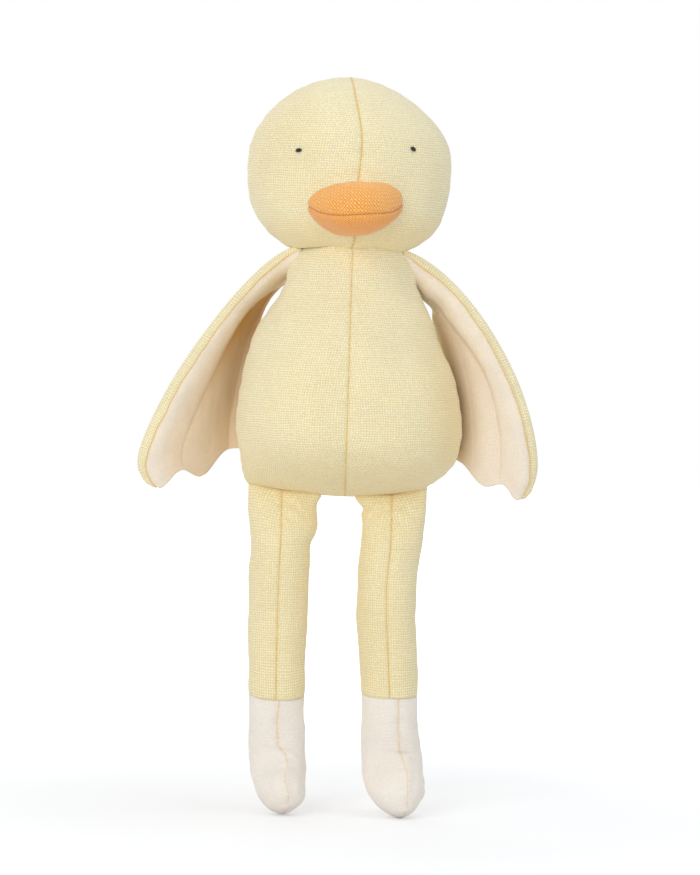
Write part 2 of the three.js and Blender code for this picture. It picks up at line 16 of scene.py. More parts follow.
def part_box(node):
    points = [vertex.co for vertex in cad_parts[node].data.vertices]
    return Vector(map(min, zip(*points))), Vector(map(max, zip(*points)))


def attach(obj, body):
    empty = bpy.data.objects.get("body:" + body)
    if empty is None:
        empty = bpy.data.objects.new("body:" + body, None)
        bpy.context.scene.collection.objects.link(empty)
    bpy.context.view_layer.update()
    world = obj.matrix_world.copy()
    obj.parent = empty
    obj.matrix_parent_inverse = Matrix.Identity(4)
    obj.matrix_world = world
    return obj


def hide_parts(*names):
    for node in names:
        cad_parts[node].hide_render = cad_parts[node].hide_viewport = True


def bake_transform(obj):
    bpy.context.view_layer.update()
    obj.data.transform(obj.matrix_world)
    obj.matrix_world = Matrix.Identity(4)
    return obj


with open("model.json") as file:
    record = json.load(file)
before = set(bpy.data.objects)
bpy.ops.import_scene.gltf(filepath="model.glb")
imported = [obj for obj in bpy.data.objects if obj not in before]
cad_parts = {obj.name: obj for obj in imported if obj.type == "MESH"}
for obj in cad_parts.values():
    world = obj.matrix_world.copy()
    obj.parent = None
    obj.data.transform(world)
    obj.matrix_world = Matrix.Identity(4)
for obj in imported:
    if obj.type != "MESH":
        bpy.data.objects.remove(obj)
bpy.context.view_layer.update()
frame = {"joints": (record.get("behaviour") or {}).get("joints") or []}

MM = 0.001
SIDES = {"left": 1, "right": -1}
TURN = 2 * np.pi
QUARTER = np.pi / 2
scene = bpy.context.scene
joints = {joint["name"]: np.array(joint["pos_m"]) / MM for joint in frame["joints"]}


def span(*nodes):
    """Lowest and highest corner of several CAD nodes together, in millimetres."""
    corners = np.array([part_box(node) for node in nodes]) / MM
    return corners[:, 0].min(axis=0), corners[:, 1].max(axis=0)


faces = ("front", "back")
body_panels = [f"body_{face}_{side}_panel" for face in faces for side in SIDES]
head_panels = [f"head_{face}_{side}_panel" for face in faces for side in SIDES]
body_low, body_high = span(*body_panels)
head_low, head_high = span(*head_panels)

# The main sizes, from the frame.
neck_ball = joints["head_nod"]
neck_ball_radius = body_high[2] - neck_ball[2]
middle_y = neck_ball[1]
body_x = neck_ball[0]
body_half_width = (body_high[0] - body_low[0]) / 2
body_half_depth = (body_high[1] - body_low[1]) / 2
body_bottom = body_low[2]
head_middle = (head_low + head_high) / 2
head_half_width = (head_high[0] - head_low[0]) / 2
head_half_depth = (head_high[1] - head_low[1]) / 2
head_top = head_high[2]

# Sizes that the frame's boxes do not give, in millimetres, and turns in radians.
neck_height = 229.5
body_widest_height = 158.0
bottom_seam_half = 35.0
bottom_seam_rise = 4.5
flank_power = 1.6
belly_power = 2.3
head_widest_height = 264.5
head_under_height = 227.5
head_rim_height = 230.2
cheek_power = 2.85
head_turn = math.radians(4)
neck_clearance = 0.6
stitch = 2.25
thread_radius = 0.15

# Columns of a grid across each of four panels or two halves, and the column of each seam between them.
panel_columns = 52
half_columns = 60
panel_seams = {name: k * panel_columns for k, name in enumerate(("front", "left", "back", "right"))}
half_seams = {name: k * half_columns for k, name in enumerate(faces)}


# Grids and meshes

def smooth(t):
    """A smooth step from 0 to 1: 3 t squared less 2 t cubed."""
    t = np.clip(t, 0, 1)
    return t * t * (3 - 2 * t)


def lerp(a, b, t):
    """The value t of the way from a to b."""
    return a + (b - a) * t


def bell(x, middle, width):
    """A bell curve of height 1 at the middle, with a half width where it has fallen to a third."""
    return np.exp(-((x - middle) / width) ** 2)


def bezier(points, t):
    """The cubic Bezier curve of four points at every t."""
    a, b, c, d = (np.asarray(point, float) for point in points)
    t = np.asarray(t, float)[..., None]
    return (1 - t) ** 3 * a + 3 * t * (1 - t) ** 2 * b + 3 * t ** 2 * (1 - t) * c + t ** 3 * d


def through(places, values, x):
    """A smooth curve through the values at their places: a cubic on each stretch, with mean slopes there."""
    places = np.asarray(places, float)
    values = np.asarray(values, float)
    slopes = np.gradient(values, places, axis=0)
    k = np.clip(np.searchsorted(places, x) - 1, 0, len(places) - 2)
    wide = places[k + 1] - places[k]
    t = (np.asarray(x, float) - places[k]) / wide
    if values.ndim > 1:
        t = t[..., None]
        wide = wide[..., None]
    start = (1 + 2 * t) * (1 - t) ** 2 * values[k] + t * (1 - t) ** 2 * wide * slopes[k]
    return start + t * t * (3 - 2 * t) * values[k + 1] + t * t * (t - 1) * wide * slopes[k + 1]


def grid(*parts):
    """Arrays spread to one shape and set side by side along a new last axis."""
    return np.stack(np.broadcast_arrays(*parts), axis=-1)


def unit(vectors):
    """Vectors along the last axis, at length 1."""
    return vectors / np.linalg.norm(vectors, axis=-1, keepdims=True)


def lumps(points, size, seed):
    """Soft unevenness between about -1 and 1: plane waves about size long, in ways fixed by the seed."""
    dice = np.random.default_rng(seed)
    waves = 14
    way = unit(dice.normal(size=(waves, 3)))
    pitch = TURN / (size * dice.uniform(0.7, 1.5, waves))
    start = dice.uniform(0, TURN, waves)
    return np.sin(points @ (way * pitch[:, None]).T + start).sum(axis=-1) / math.sqrt(waves)


def stuffed(points, *waves):
    """Unevenness of a stuffed cover: a sum of lumps, each given by its height, size and seed."""
    return sum(high * lumps(points, size, seed) for high, size, seed in waves)


def outward(points, wrap=True):
    """Unit normals of a grid: the way down crossed with the way round, and at a pole the next row's mean."""
    ring = points[:, :-1] if wrap else points
    if wrap:
        across = np.roll(ring, -1, axis=1) - np.roll(ring, 1, axis=1)
    else:
        across = np.gradient(ring, axis=1)
    normal = np.cross(np.gradient(ring, axis=0), across)
    size = np.linalg.norm(normal, axis=2, keepdims=True)
    normal = normal / np.maximum(size, 1e-12)
    for pole, near in ((0, 1), (-1, -2)):
        if size[pole].max() < 1e-6:
            mean = normal[near].mean(axis=0)
            normal[pole] = mean / max(np.linalg.norm(mean), 1e-9)
    return np.concatenate([normal, normal[:, :1]], axis=1) if wrap else normal


def raised(points, relief):
    """A ring grid moved out along its normals by the relief, and those normals."""
    normal = outward(points)
    points = points + normal * relief[..., None]
    points[:, -1] = points[:, 0]
    return points, normal


def spun(points, turn):
    """Points turned about the upright axis, with the front going to the chick's left."""
    x, y, z = np.moveaxis(points, -1, 0)
    cosine = math.cos(turn)
    sine = math.sin(turn)
    return grid(x * cosine - y * sine, x * sine + y * cosine, z)


def distances(points):
    """Length along a line of points, from its start."""
    steps = np.linalg.norm(np.diff(points, axis=0), axis=1)
    return np.concatenate([[0], np.cumsum(steps)])


def cloth(name, points, uv, material, values=None, closed=True):
    """A mesh of a grid of points in millimetres, with its thread map. A closed one's faces look out."""
    rows, columns = points.shape[:2]
    index = np.arange(rows * columns).reshape(rows, columns)
    quads = grid(index[:-1, :-1], index[1:, :-1], index[1:, 1:], index[:-1, 1:]).reshape(-1, 4)
    place = points.reshape(-1, 3) * MM
    if closed:
        a, b, c, d = (place[quads[:, k]] for k in range(4))
        if (np.cross(c - a, d - b) * (a + b + c + d)).sum() < 0:
            quads = quads[:, ::-1]
    mesh = bpy.data.meshes.new(name)
    mesh.vertices.add(len(place))
    mesh.vertices.foreach_set("co", place.ravel())
    mesh.loops.add(quads.size)
    mesh.loops.foreach_set("vertex_index", np.ascontiguousarray(quads).ravel())
    mesh.polygons.add(len(quads))
    mesh.polygons.foreach_set("loop_start", np.arange(0, quads.size, 4))
    mesh.update(calc_edges=True)
    threads = mesh.uv_layers.new(name="threads")
    threads.data.foreach_set("uv", uv.reshape(-1, 2)[quads].ravel())
    for key, value in (values or {}).items():
        layer = mesh.attributes.new(key, "FLOAT", "POINT")
        spread = np.ascontiguousarray(np.broadcast_to(value, (rows, columns)))
        layer.data.foreach_set("value", spread.ravel())
    shape = bmesh.new()
    shape.from_mesh(mesh)
    bmesh.ops.remove_doubles(shape, verts=shape.verts, dist=2e-6)
    shape.to_mesh(mesh)
    shape.free()
    mesh.shade_smooth()
    mesh.materials.append(material)
    piece = bpy.data.objects.new(name, mesh)
    scene.collection.objects.link(piece)
    return piece


def crowded(count, amount):
    """Steps from 0 to 1 that crowd at both ends: t - amount sin(2 pi t) / 2 pi."""
    t = np.linspace(0, 1, count + 1)
    return t - amount * np.sin(TURN * t) / TURN


def panels(count, sectors):
    """Angles round a form sewn from sectors, crowded at its seams.

    Also the columns that each sector takes from them, a seam's column twice, and their sector's middle.
    """
    eased = crowded(count, 0.92)
    turns = np.concatenate([k + eased[:-1] for k in range(sectors)] + [[sectors]]) * TURN / sectors
    columns = np.concatenate([np.arange(k * count, (k + 1) * count + 1) for k in range(sectors)])
    middles = np.repeat((np.arange(sectors) + 0.5) * TURN / sectors, count + 1)
    return turns, columns, middles


def thread_map(turns, columns, middles, radius, along):
    """Thread places on a form sewn from panels: the way round from each panel's middle, and the way down."""
    around = (turns[columns] - middles)[None] * radius[:, None]
    return grid(around, along[:, None])


def from_seam(turns, sectors):
    """Angle from the nearest of the sector seams, which start at the front."""
    wide = TURN / sectors
    return turns - np.round(turns / wide) * wide


def seam_tint(off, most, width=0.4):
    """Share of the seam colour beside a seam: the most at it, and about a third of that one width off.

    The seam colour is partly the thread showing through and partly painted shade in the seam's valley.
    """
    return most * np.exp(-np.abs(off) / width)


def seam_relief(off, along, depth):
    """How far cloth stands out beside a seam: a sharp valley, a soft hollow and puckers between stitches."""
    valley_width = 0.75
    hollow_share = 0.4
    hollow_width = 3.2
    pucker_height = 0.11
    drawn_height = 0.13
    drawn_pitch = 3.3 * stitch
    off = np.abs(off)
    valley = -depth * np.exp(-off / valley_width)
    hollow = -hollow_share * depth * bell(off, 0, hollow_width)
    pucker = pucker_height * np.sin(TURN * along / stitch) * bell(off, 0.5, 1.3)
    drawn = drawn_height * np.sin(TURN * along / drawn_pitch + 1.1) * bell(off, 1.5, 3.6)
    return valley + hollow + pucker + drawn


def tube(line, side, up, size, along):
    """Points and thread map of a strand: a ring carried along a line, with a size at each place."""
    turn = np.linspace(0, TURN, 9)
    ring = side[:, None] * np.cos(turn)[None, :, None] + up * np.sin(turn)[None, :, None]
    uv = grid(turn[None] * 0.1, along[:, None])
    return line[:, None] + ring * size[:, None, None], uv


def thread(name, path, normal, material, radius=thread_radius, pitch=stitch):
    """A sewing thread: a ring carried along a path, which swells once a stitch and is closed at its ends."""
    rings_per_stitch = 6
    broader = 1.25
    long = distances(path)
    at = np.linspace(0, long[-1], max(int(long[-1] / pitch * rings_per_stitch), 12))
    line, up = (grid(*(np.interp(at, long, part) for part in rows.T)) for rows in (path, normal))
    way = unit(np.gradient(line, axis=0))
    side = unit(np.cross(way, up))
    up = np.cross(side, way)
    swell = np.abs(np.sin(np.pi * at / pitch))
    size = radius * (0.5 + 0.6 * swell)
    size[[0, -1]] = 0
    line = line + up * (radius * 0.5 * swell)[:, None]
    points, uv = tube(line, side * broader, up[:, None], size, at)
    return cloth(name, points, uv, material)


# Materials

def srgb(red, green, blue):
    """A colour as a screen shows it, 0 to 255, in the linear numbers of a shader."""
    screen = np.array([red, green, blue]) / 255
    linear = np.where(screen > 0.04045, ((screen + 0.055) / 1.055) ** 2.4, screen / 12.92)
    return (*linear.tolist(), 1.0)


class Nodes:
    """The node tree of a material or the world, with short calls that add a node and give back its output."""

    def __init__(self, owner):
        owner.use_nodes = True
        self.owner = owner
        self.tree = owner.node_tree
        self.shader = self.tree.nodes.get("Principled BSDF")

    def add(self, kind, inputs=(), output=0, **settings):
        """Adds a node, makes its settings, and fills its inputs with values or with other nodes' outputs."""
        node = self.tree.nodes.new(kind)
        for key, value in settings.items():
            setattr(node, key, value)
        for number, value in dict(inputs).items():
            if isinstance(value, bpy.types.NodeSocket):
                self.tree.links.new(value, node.inputs[number])
            else:
                node.inputs[number].default_value = value
        return node.outputs[output]

    def math(self, operation, a, b=0.0):
        return self.add("ShaderNodeMath", {0: a, 1: b}, operation=operation)

    def times(self, a, b):
        return self.math("MULTIPLY", a, b)

    def range(self, value, low, high, to_low, to_high):
        return self.add("ShaderNodeMapRange", {0: value, 1: low, 2: high, 3: to_low, 4: to_high},
                        interpolation_type="SMOOTHSTEP")

    def mix(self, factor, a, b, how="MIX"):
        return self.add("ShaderNodeMix", {0: factor, 6: a, 7: b}, output=2, data_type="RGBA", blend_type=how)

    def scaled(self, colour, factor):
        grey = self.add("ShaderNodeCombineColor", {0: factor, 1: factor, 2: factor})
        return self.mix(1.0, colour, grey, "MULTIPLY")

    def vector(self, operation, a, b):
        return self.add("ShaderNodeVectorMath", {0: a, 1: b}, operation=operation)

    def noise(self, place, scale, detail, output=0):
        return self.add("ShaderNodeTexNoise", {"Vector": place, "Scale": scale, "Detail": detail}, output)

    def uneven(self, place, scale, detail, amount):
        return self.range(self.noise(place, scale, detail), 0.3, 0.7, 1 - amount, 1 + amount)

    def own_value(self, name):
        return self.add("ShaderNodeAttribute", output=2, attribute_name=name)

    def object_place(self):
        return self.add("ShaderNodeTexCoord", output=3)

    def seen_rays(self):
        """1 for rays that show a surface as it is seen: from the camera, a gloss or a see-through surface."""
        rays = self.add("ShaderNodeLightPath").node.outputs
        seen = self.math("MAXIMUM", rays["Is Camera Ray"], rays["Is Glossy Ray"])
        return self.math("MAXIMUM", seen, rays["Is Transmission Ray"])

    def link(self, value, socket):
        self.tree.links.new(value, self.shader.inputs[socket])

    def preset(self, values):
        for socket, value in values.items():
            self.shader.inputs[socket].default_value = value


def woven(name, pitch, warp, weft, between, seam, deep=None, relief=0.3, sheen=0.3, fuzz=0.4, speckle=0.03,
          depth=0.2):
    """Plain weave of threads a pitch apart.

    With a = |sin(pi u / pitch)|, the crown of a warp thread, and b the same of v for a weft, a warp stands
    a (crown + crossed b) high and a weft b (crown + crossed a). One is lifted over the other in turn by the
    product of the sines, and the higher one shows. Each thread has its own tone along its length, threads
    wander a little, and the cloth is mottled and flecked. Where the threads dip low the between colour shows,
    partly the cloth's own tone and partly painted shade in the hollows of the weave.
    It takes the deep colour, a painted shade, by the piece's painted_shade value, and the seam colour by its
    seam value.
    """
    crown = 0.35
    crossed = 0.25
    lift = 0.09
    shade = 0.04
    mottle = 0.025
    wander_reach = 1.6 * pitch
    n = Nodes(bpy.data.materials.new(name))
    place = n.add("ShaderNodeUVMap", uv_map="threads")
    wander = n.vector("SUBTRACT", n.noise(place, 0.16, 4.0, output=1), (0.5, 0.5, 0.5))
    wander = n.add("ShaderNodeVectorMath", {0: wander, "Scale": wander_reach}, operation="SCALE")
    place = n.vector("ADD", place, wander)
    u = n.add("ShaderNodeSeparateXYZ", {0: place})
    u_turns = n.times(u, 1 / pitch)
    v_turns = n.times(u.node.outputs[1], 1 / pitch)
    u_wave = n.math("SINE", n.times(u_turns, math.pi))
    v_wave = n.math("SINE", n.times(v_turns, math.pi))
    lifted = n.times(n.times(u_wave, v_wave), lift)
    warp_crown = n.math("ABSOLUTE", u_wave)
    weft_crown = n.math("ABSOLUTE", v_wave)
    crossing = n.times(n.times(warp_crown, weft_crown), crossed)
    warp_height = n.math("ADD", n.math("ADD", n.times(warp_crown, crown), crossing), lifted)
    weft_height = n.math("SUBTRACT", n.math("ADD", n.times(weft_crown, crown), crossing), lifted)
    height = n.math("MAXIMUM", warp_height, weft_height)
    over = n.range(n.math("SUBTRACT", warp_height, weft_height), -0.1, 0.1, 0.0, 1.0)
    warp_place = n.add("ShaderNodeCombineXYZ", {0: u_turns, 1: n.times(v_turns, 0.2)})
    weft_place = n.add("ShaderNodeCombineXYZ", {0: n.times(u_turns, 0.2), 1: v_turns, 2: 9.0})
    blotch = n.uneven(n.object_place(), 55.0, 3.0, mottle)
    blotch = n.times(blotch, n.uneven(place, 0.8 / pitch, 0.0, speckle))
    warp_colour = n.scaled(srgb(*warp), n.times(n.uneven(warp_place, 1.0, 1.0, shade), blotch))
    weft_colour = n.scaled(srgb(*weft), n.times(n.uneven(weft_place, 1.0, 1.0, shade), blotch))
    colour = n.mix(over, weft_colour, warp_colour)
    # Where the threads dip low, the between colour: partly the cloth's own tone, partly painted shade in the
    # weave's hollows.
    colour = n.mix(n.range(height, 0.15, 0.6, 0.0, 1.0), n.scaled(srgb(*between), blotch), colour)
    # Painted shade: the deep colour, shade warmed as by light bounced off the cloth, is mixed in by the
    # painted_shade value.
    if deep:
        colour = n.mix(n.own_value("painted_shade"), colour, srgb(*deep))
    # The seam colour: partly the thread showing through, partly painted shade along the seam's valley.
    n.link(n.mix(n.own_value("seam"), colour, srgb(*seam)), "Base Color")
    nap = n.times(n.noise(place, 3.0 / pitch, 1.0), fuzz)
    bump = {"Strength": relief, "Distance": 0.3 * MM, "Height": n.math("ADD", height, nap)}
    n.link(n.add("ShaderNodeBump", bump), "Normal")
    n.preset({"Roughness": 0.92, "Specular IOR Level": 0.15, "Sheen Weight": sheen, "Sheen Roughness": 0.6,
              "Sheen Tint": (1.0, 1.0, 1.0, 1.0), "Subsurface Weight": depth,
              "Subsurface Radius": (1.0, 0.7, 0.3), "Subsurface Scale": 3 * MM})
    return n.owner


def sewing(name, dark, light, gloss=0.15):
    """Twisted thread: stripes slanted along the strand, darker between its plies."""
    n = Nodes(bpy.data.materials.new(name))
    split = n.add("ShaderNodeSeparateXYZ", {0: n.add("ShaderNodeUVMap", uv_map="threads")})
    ply = n.math("SINE", n.math("ADD", n.times(split, 10.0), n.times(split.node.outputs[1], 9.0)))
    n.link(n.mix(n.range(ply, -1.0, 1.0, 0.0, 1.0), srgb(*dark), srgb(*light)), "Base Color")
    n.link(n.add("ShaderNodeBump", {"Strength": 0.3, "Distance": 0.1 * MM, "Height": ply}), "Normal")
    n.preset({"Roughness": 0.7, "Specular IOR Level": gloss, "Sheen Weight": 0.2})
    return n.owner


# The seam colours are partly the thread showing through and partly painted shade along a seam's valley.
linen = {"warp": (252, 243, 208), "weft": (255, 250, 225),
         "between": (234, 217, 158), "seam": (238, 208, 132)}
# Each deep colour is a painted shade: the warm shade of that cloth in creases, under parts and beside other
# parts.
yellow_linen = woven("yellow_linen_weave", 1.0, **linen, deep=(234, 192, 92), relief=0.32)
wing_linen = woven("wing_linen_weave", 1.0, **linen, depth=0.0)
orange_linen = woven("orange_linen_weave", 1.0, warp=(253, 190, 98), weft=(255, 212, 142),
                     between=(242, 146, 48), seam=(206, 116, 52), deep=(230, 120, 36))
foot_cotton = woven("foot_cotton_weave", 0.6, warp=(251, 244, 235), weft=(253, 249, 242),
                    between=(243, 233, 221), seam=(244, 220, 186), relief=0.22, speckle=0.02)
lining_cotton = woven("lining_cotton_weave", 0.55, warp=(255, 244, 225), weft=(255, 249, 238),
                      between=(251, 235, 212), seam=(240, 208, 150), deep=(226, 174, 86), relief=0.4,
                      sheen=0.2, fuzz=1.6, depth=0.0)
gold_thread = sewing("gold_thread", (216, 170, 82), (252, 226, 156))
peach_thread = sewing("peach_thread", (242, 212, 170), (253, 236, 210))
mouth_thread = sewing("mouth_thread", (170, 78, 30), (238, 168, 96))
black_thread = sewing("black_thread", (10, 9, 9), (40, 37, 36), gloss=0.4)


# Body

def body_rows():
    """Heights and half sizes down the body.

    A cap of the neck ball, then a flank that swells by (1 - t squared) to a power and is never inside the
    ball, then a belly that rounds under and flattens front to back into the bottom seam.
    """
    rim = math.acos((neck_height - neck_ball[2]) / neck_ball_radius)
    neck_half = neck_ball_radius * math.sin(rim)
    cap = np.linspace(0, rim, 14)[:-1]
    flank = np.linspace(neck_height, body_widest_height, 130)[:-1]
    swell = (1 - ((flank - body_widest_height) / (neck_height - body_widest_height)) ** 2) ** flank_power
    ball = np.sqrt(np.maximum(neck_ball_radius ** 2 - np.maximum(flank - neck_ball[2], 0) ** 2, 0))
    t = 1 - np.linspace(1, 0, 76) ** 1.4
    fall = np.sin(t * QUARTER)
    under = 1 - np.cos(t * QUARTER)
    ball_cap = neck_ball_radius * np.sin(cap)
    height = np.concatenate([neck_ball[2] + neck_ball_radius * np.cos(cap), flank,
                             lerp(body_widest_height, body_bottom, fall)])
    wide = np.concatenate([ball_cap, np.maximum(lerp(neck_half, body_half_width, swell), ball),
                           lerp(body_half_width, bottom_seam_half, under)])
    deep = np.concatenate([ball_cap, np.maximum(lerp(neck_half, body_half_depth, swell), ball),
                           lerp(0, body_half_depth, 1 - fall ** belly_power)])
    rise = np.concatenate([np.zeros(len(cap) + len(flank)), bottom_seam_rise * t ** 2])
    return height, wide, deep, rise


# Heights, and how far each flank leans in x there.
flank_lean = {
    "right": ((129.4, 131, 137, 147, 153, 160, 174, 188, 197, 206, 211, 216, 243),
              (-1.5, -1.5, 0.0, 1.4, 0.6, 0.3, -0.1, -1.6, -2.6, -1.2, -0.1, 0.0, 0.0)),
    "left": ((129.4, 130.8, 134.9, 139, 144, 151, 171, 182, 191, 203, 208, 216, 243),
             (-2.4, -4.9, -4.4, -2.0, 0.2, 1.0, 0.8, 0.5, -0.5, 0.2, 0.0, 0.0, 0.0)),
}


def body_lean(height, turns):
    """How far each flank stands to the chick's left at a height, where stuffing fills it more or less, in x.

    Each flank's amount fades to none at the front and back seams.
    """
    right = through(*flank_lean["right"], height)[:, None]
    left = through(*flank_lean["left"], height)[:, None]
    return right * smooth(-np.sin(turns)) + left * smooth(np.sin(turns))


def make_body():
    """The body's cover: an oval at each height, x = wide sin(turn), y = -deep cos(turn), seamed and lumpy.

    Its painted_shade value, a painted warm shade, rises at the bottom seam, low down and on the flank by the
    left wing.
    """
    bottom_painted_shade = 0.75
    belly_painted_shade = 0.22
    waist_painted_shade = 0.04
    waist_height = 195
    flank_painted_shade = 0.36
    flank_height = 165
    turns, columns, middles = panels(panel_columns, 4)
    height, wide, deep, rise = body_rows()
    x = body_x + body_lean(height, turns) + wide[:, None] * np.sin(turns)
    y = middle_y - deep[:, None] * np.cos(turns)
    z = height[:, None] + rise[:, None] * np.sin(turns) ** 2
    points = grid(x, y, z)
    along = distances(points[:, panel_columns // 2])
    radius = (wide + deep) / 2
    off = from_seam(turns, 4)[None] * radius[:, None]
    free = smooth((neck_height + 3 - height) / 8) * smooth((height - body_bottom) / 5)
    soft = smooth((height - body_bottom) / 14)
    relief = seam_relief(off, along[:, None], depth=0.75) * free[:, None]
    relief += stuffed(points, (0.3, 34, 3), (0.08, 9, 4)) * (free * soft)[:, None]
    points, normal = raised(points, relief)
    seam = seam_tint(off, most=0.45) * free[:, None]
    # Painted shade, warm as from light bounced off the yellow cloth: strongest at the bottom seam, then low
    # on the belly and waist, and on the front of the flank beside the left wing.
    bottom = bottom_painted_shade * np.exp(-(along[-1] - along) / 0.7)
    belly = belly_painted_shade * smooth((body_widest_height - height) / 22)
    low = np.maximum(belly, waist_painted_shade * smooth((waist_height - height) / 20))
    flank = smooth((np.sin(turns) - 0.5) / 0.5) * smooth((np.cos(turns) + 0.4) / 0.4)
    flank = flank_painted_shade * flank * bell(height, flank_height, 36)[:, None]
    painted_shade = np.maximum(np.maximum(bottom, low)[:, None], flank)
    piece = cloth("body_cover", points[:, columns], thread_map(turns, columns, middles, radius, along),
                  yellow_linen, {"seam": seam[:, columns], "painted_shade": painted_shade[:, columns]})
    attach(piece, "torso")
    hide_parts(*body_panels, "body_stuffing")
    shown = (height < neck_height + 1.0) & (height > body_bottom + 0.2)
    for name, column in panel_seams.items():
        line = thread(f"body_{name}_seam_thread", points[shown, column], normal[shown, column], gold_thread)
        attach(line, "torso")


# Head

def head_rows():
    """Heights and half widths down the head: a round crown, then cheeks of a fuller power to the neck."""
    crown = np.linspace(0, QUARTER, 84)[:-1]
    low = (head_widest_height - head_rim_height) / (head_widest_height - head_under_height)
    last = math.acos(low ** (cheek_power / 2))
    cheek = QUARTER - (QUARTER - last) * (1 - np.linspace(1, 0, 84) ** 1.5)
    round_up = np.sin(crown)
    round_low = np.sin(cheek) ** (2 / cheek_power)
    height = np.concatenate([
        lerp(head_widest_height, head_top, np.cos(crown)),
        lerp(head_widest_height, head_under_height, np.cos(cheek) ** (2 / cheek_power)),
    ])
    return height, np.concatenate([round_up, round_low])


def on_face(x, height):
    """Point of the head's plain form at x: y = -deep sqrt(share squared - (x / wide) squared)."""
    x = np.asarray(x, float)
    height = np.asarray(height, float)
    rows, shares = head_rows()
    share = np.interp(-height, -rows, shares)
    y = -head_half_depth * np.sqrt(np.maximum(share ** 2 - (x / head_half_width) ** 2, 0))
    return grid(x, y, height)


def turned(points):
    """Puts points of the head's own frame into the shared frame, turned a little to the chick's left.

    The left of the crown is drawn in and the jaw stands 1 mm to the left.
    """
    crown_draw = 3.3
    crown_height = 272
    jaw_top = 250
    jaw_bottom = 229
    x, y, z = np.moveaxis(points, -1, 0)
    crown = smooth((z - crown_height) / 22) * smooth((x + 10) / 30)
    jaw = smooth((jaw_top - z) / 12) * smooth((z - jaw_bottom) / 5)
    return spun(grid(x - crown_draw * crown + jaw, y, z), head_turn) + head_middle * (1, 1, 0)


eye_half_spacing = {"left": 23.4, "right": 22.6}
eye_height = {"left": 270.8, "right": 268.7}
bill_half_width = 20.5
bill_x = 0.8
bill_seam_height = 243.4
# Places across the neck line, and how far it rises there.
neck_wave = ((-40, -18.6, -6.8, 3, 9.5, 20.5, 27.4, 40), (0.0, -0.1, 0.7, -0.9, -0.2, -1.5, 0.4, 0.0))


def make_head():
    """The head's cover: an oval at each height, with seams, eye dimples and a fold round the bill.

    Below its rim a dome closes it, from the rim's own outline to a round hollow for the neck ball.
    """
    crown_sway = 2.5
    sway_height = 276
    wave_top = 242
    dimple_depth = 0.6
    dimple_radius = 2.2
    bill_fold = 0.6
    bill_fold_radius = 12.5
    bill_fold_stretch = 1.7
    bill_fold_rise = 3.0
    dome_rows = 9
    jaw_painted_shade = 0.25
    jaw_painted_shade_top = 248
    right_painted_shade = 0.07
    front_thread = 0.27
    other_thread = 0.16
    turns, columns, middles = panels(panel_columns, 4)
    height, share = head_rows()
    sway = crown_sway / head_half_width * bell(height, sway_height, 24)[:, None] * (1 + np.cos(turns)) / 2
    points = grid(head_half_width * share[:, None] * np.sin(turns + sway),
                  -head_half_depth * share[:, None] * np.cos(turns + sway), height[:, None])
    wave = through(*neck_wave, np.clip(points[..., 0], -40, 40)) * smooth(-points[..., 1] / 8)
    points[..., 2] += wave * smooth((wave_top - height) / 12)[:, None]
    along = distances(points[:, panel_columns // 2])
    radius = (head_half_width + head_half_depth) / 2 * share
    off = from_seam(turns, 4)[None] * radius[:, None]
    free = smooth((height - head_rim_height) / 3)
    crown = smooth((head_top - height) / 1.5)
    relief = seam_relief(off, along[:, None], depth=0.7) * (free * crown)[:, None]
    relief += stuffed(points, (0.22, 36, 7), (0.06, 9, 8)) * free[:, None]
    front = points[..., 1] < 0
    for name, side in SIDES.items():
        near = np.hypot(points[..., 0] - side * eye_half_spacing[name], points[..., 2] - eye_height[name])
        relief -= dimple_depth * bell(near, 0, dimple_radius) * front
    round_bill = np.hypot((points[..., 0] - bill_x) / bill_fold_stretch,
                          points[..., 2] - bill_seam_height - bill_fold_rise)
    relief -= bill_fold * bell(round_bill, bill_fold_radius, 2.2) * front
    points, normal = raised(points, relief)
    rim = np.linalg.norm(points[-1, :, :2], axis=1).mean()
    hollow_radius = neck_ball_radius + neck_clearance
    hollow = np.linspace(math.asin(rim / hollow_radius) - 0.06, 0, dome_rows)[:, None]
    around = hollow_radius * np.sin(hollow)
    shrink = np.sin(hollow) / np.sin(hollow[0])
    pull = np.linspace(0.25, 1, dome_rows)[:, None] ** 0.5
    ball_x, ball_y, _ = neck_ball - head_middle
    dome = grid(lerp(points[-1, :, 0] * shrink, ball_x * pull + around * np.sin(turns), pull),
                lerp(points[-1, :, 1] * shrink, ball_y * pull - around * np.cos(turns), pull),
                neck_ball[2] + hollow_radius * np.cos(hollow))
    dome[:, -1] = dome[:, 0]
    dome[-1] = dome[-1].mean(axis=0)
    seam = np.concatenate([seam_tint(off, most=0.45) * free[:, None], np.zeros(dome.shape[:2])])
    covered = np.concatenate([points, dome])
    uv = thread_map(turns, columns, middles, np.concatenate([radius, around[:, 0]]),
                    distances(covered[:, panel_columns // 2]))
    # Painted shade: warm under the cheeks and jaw above the body, and a little on the chick's right side.
    painted_shade = jaw_painted_shade * smooth((jaw_painted_shade_top - covered[..., 2]) / 14)
    painted_shade = np.maximum(painted_shade, right_painted_shade * smooth((-covered[..., 0] - 6) / 18))
    piece = cloth("head_cover", turned(covered)[:, columns], uv, yellow_linen,
                  {"seam": seam[:, columns], "painted_shade": painted_shade[:, columns]})
    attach(piece, "head")
    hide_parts(*head_panels, "head_stuffing")
    shown = (height > head_rim_height + 0.4) & (height < head_top - 0.2)
    place = turned(points)
    way = turned(points + normal) - place
    for name, column in panel_seams.items():
        line = thread(f"head_{name}_seam_thread", place[shown, column], way[shown, column], gold_thread,
                      radius=front_thread if name == "front" else other_thread, pitch=1.8)
        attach(line, "head")


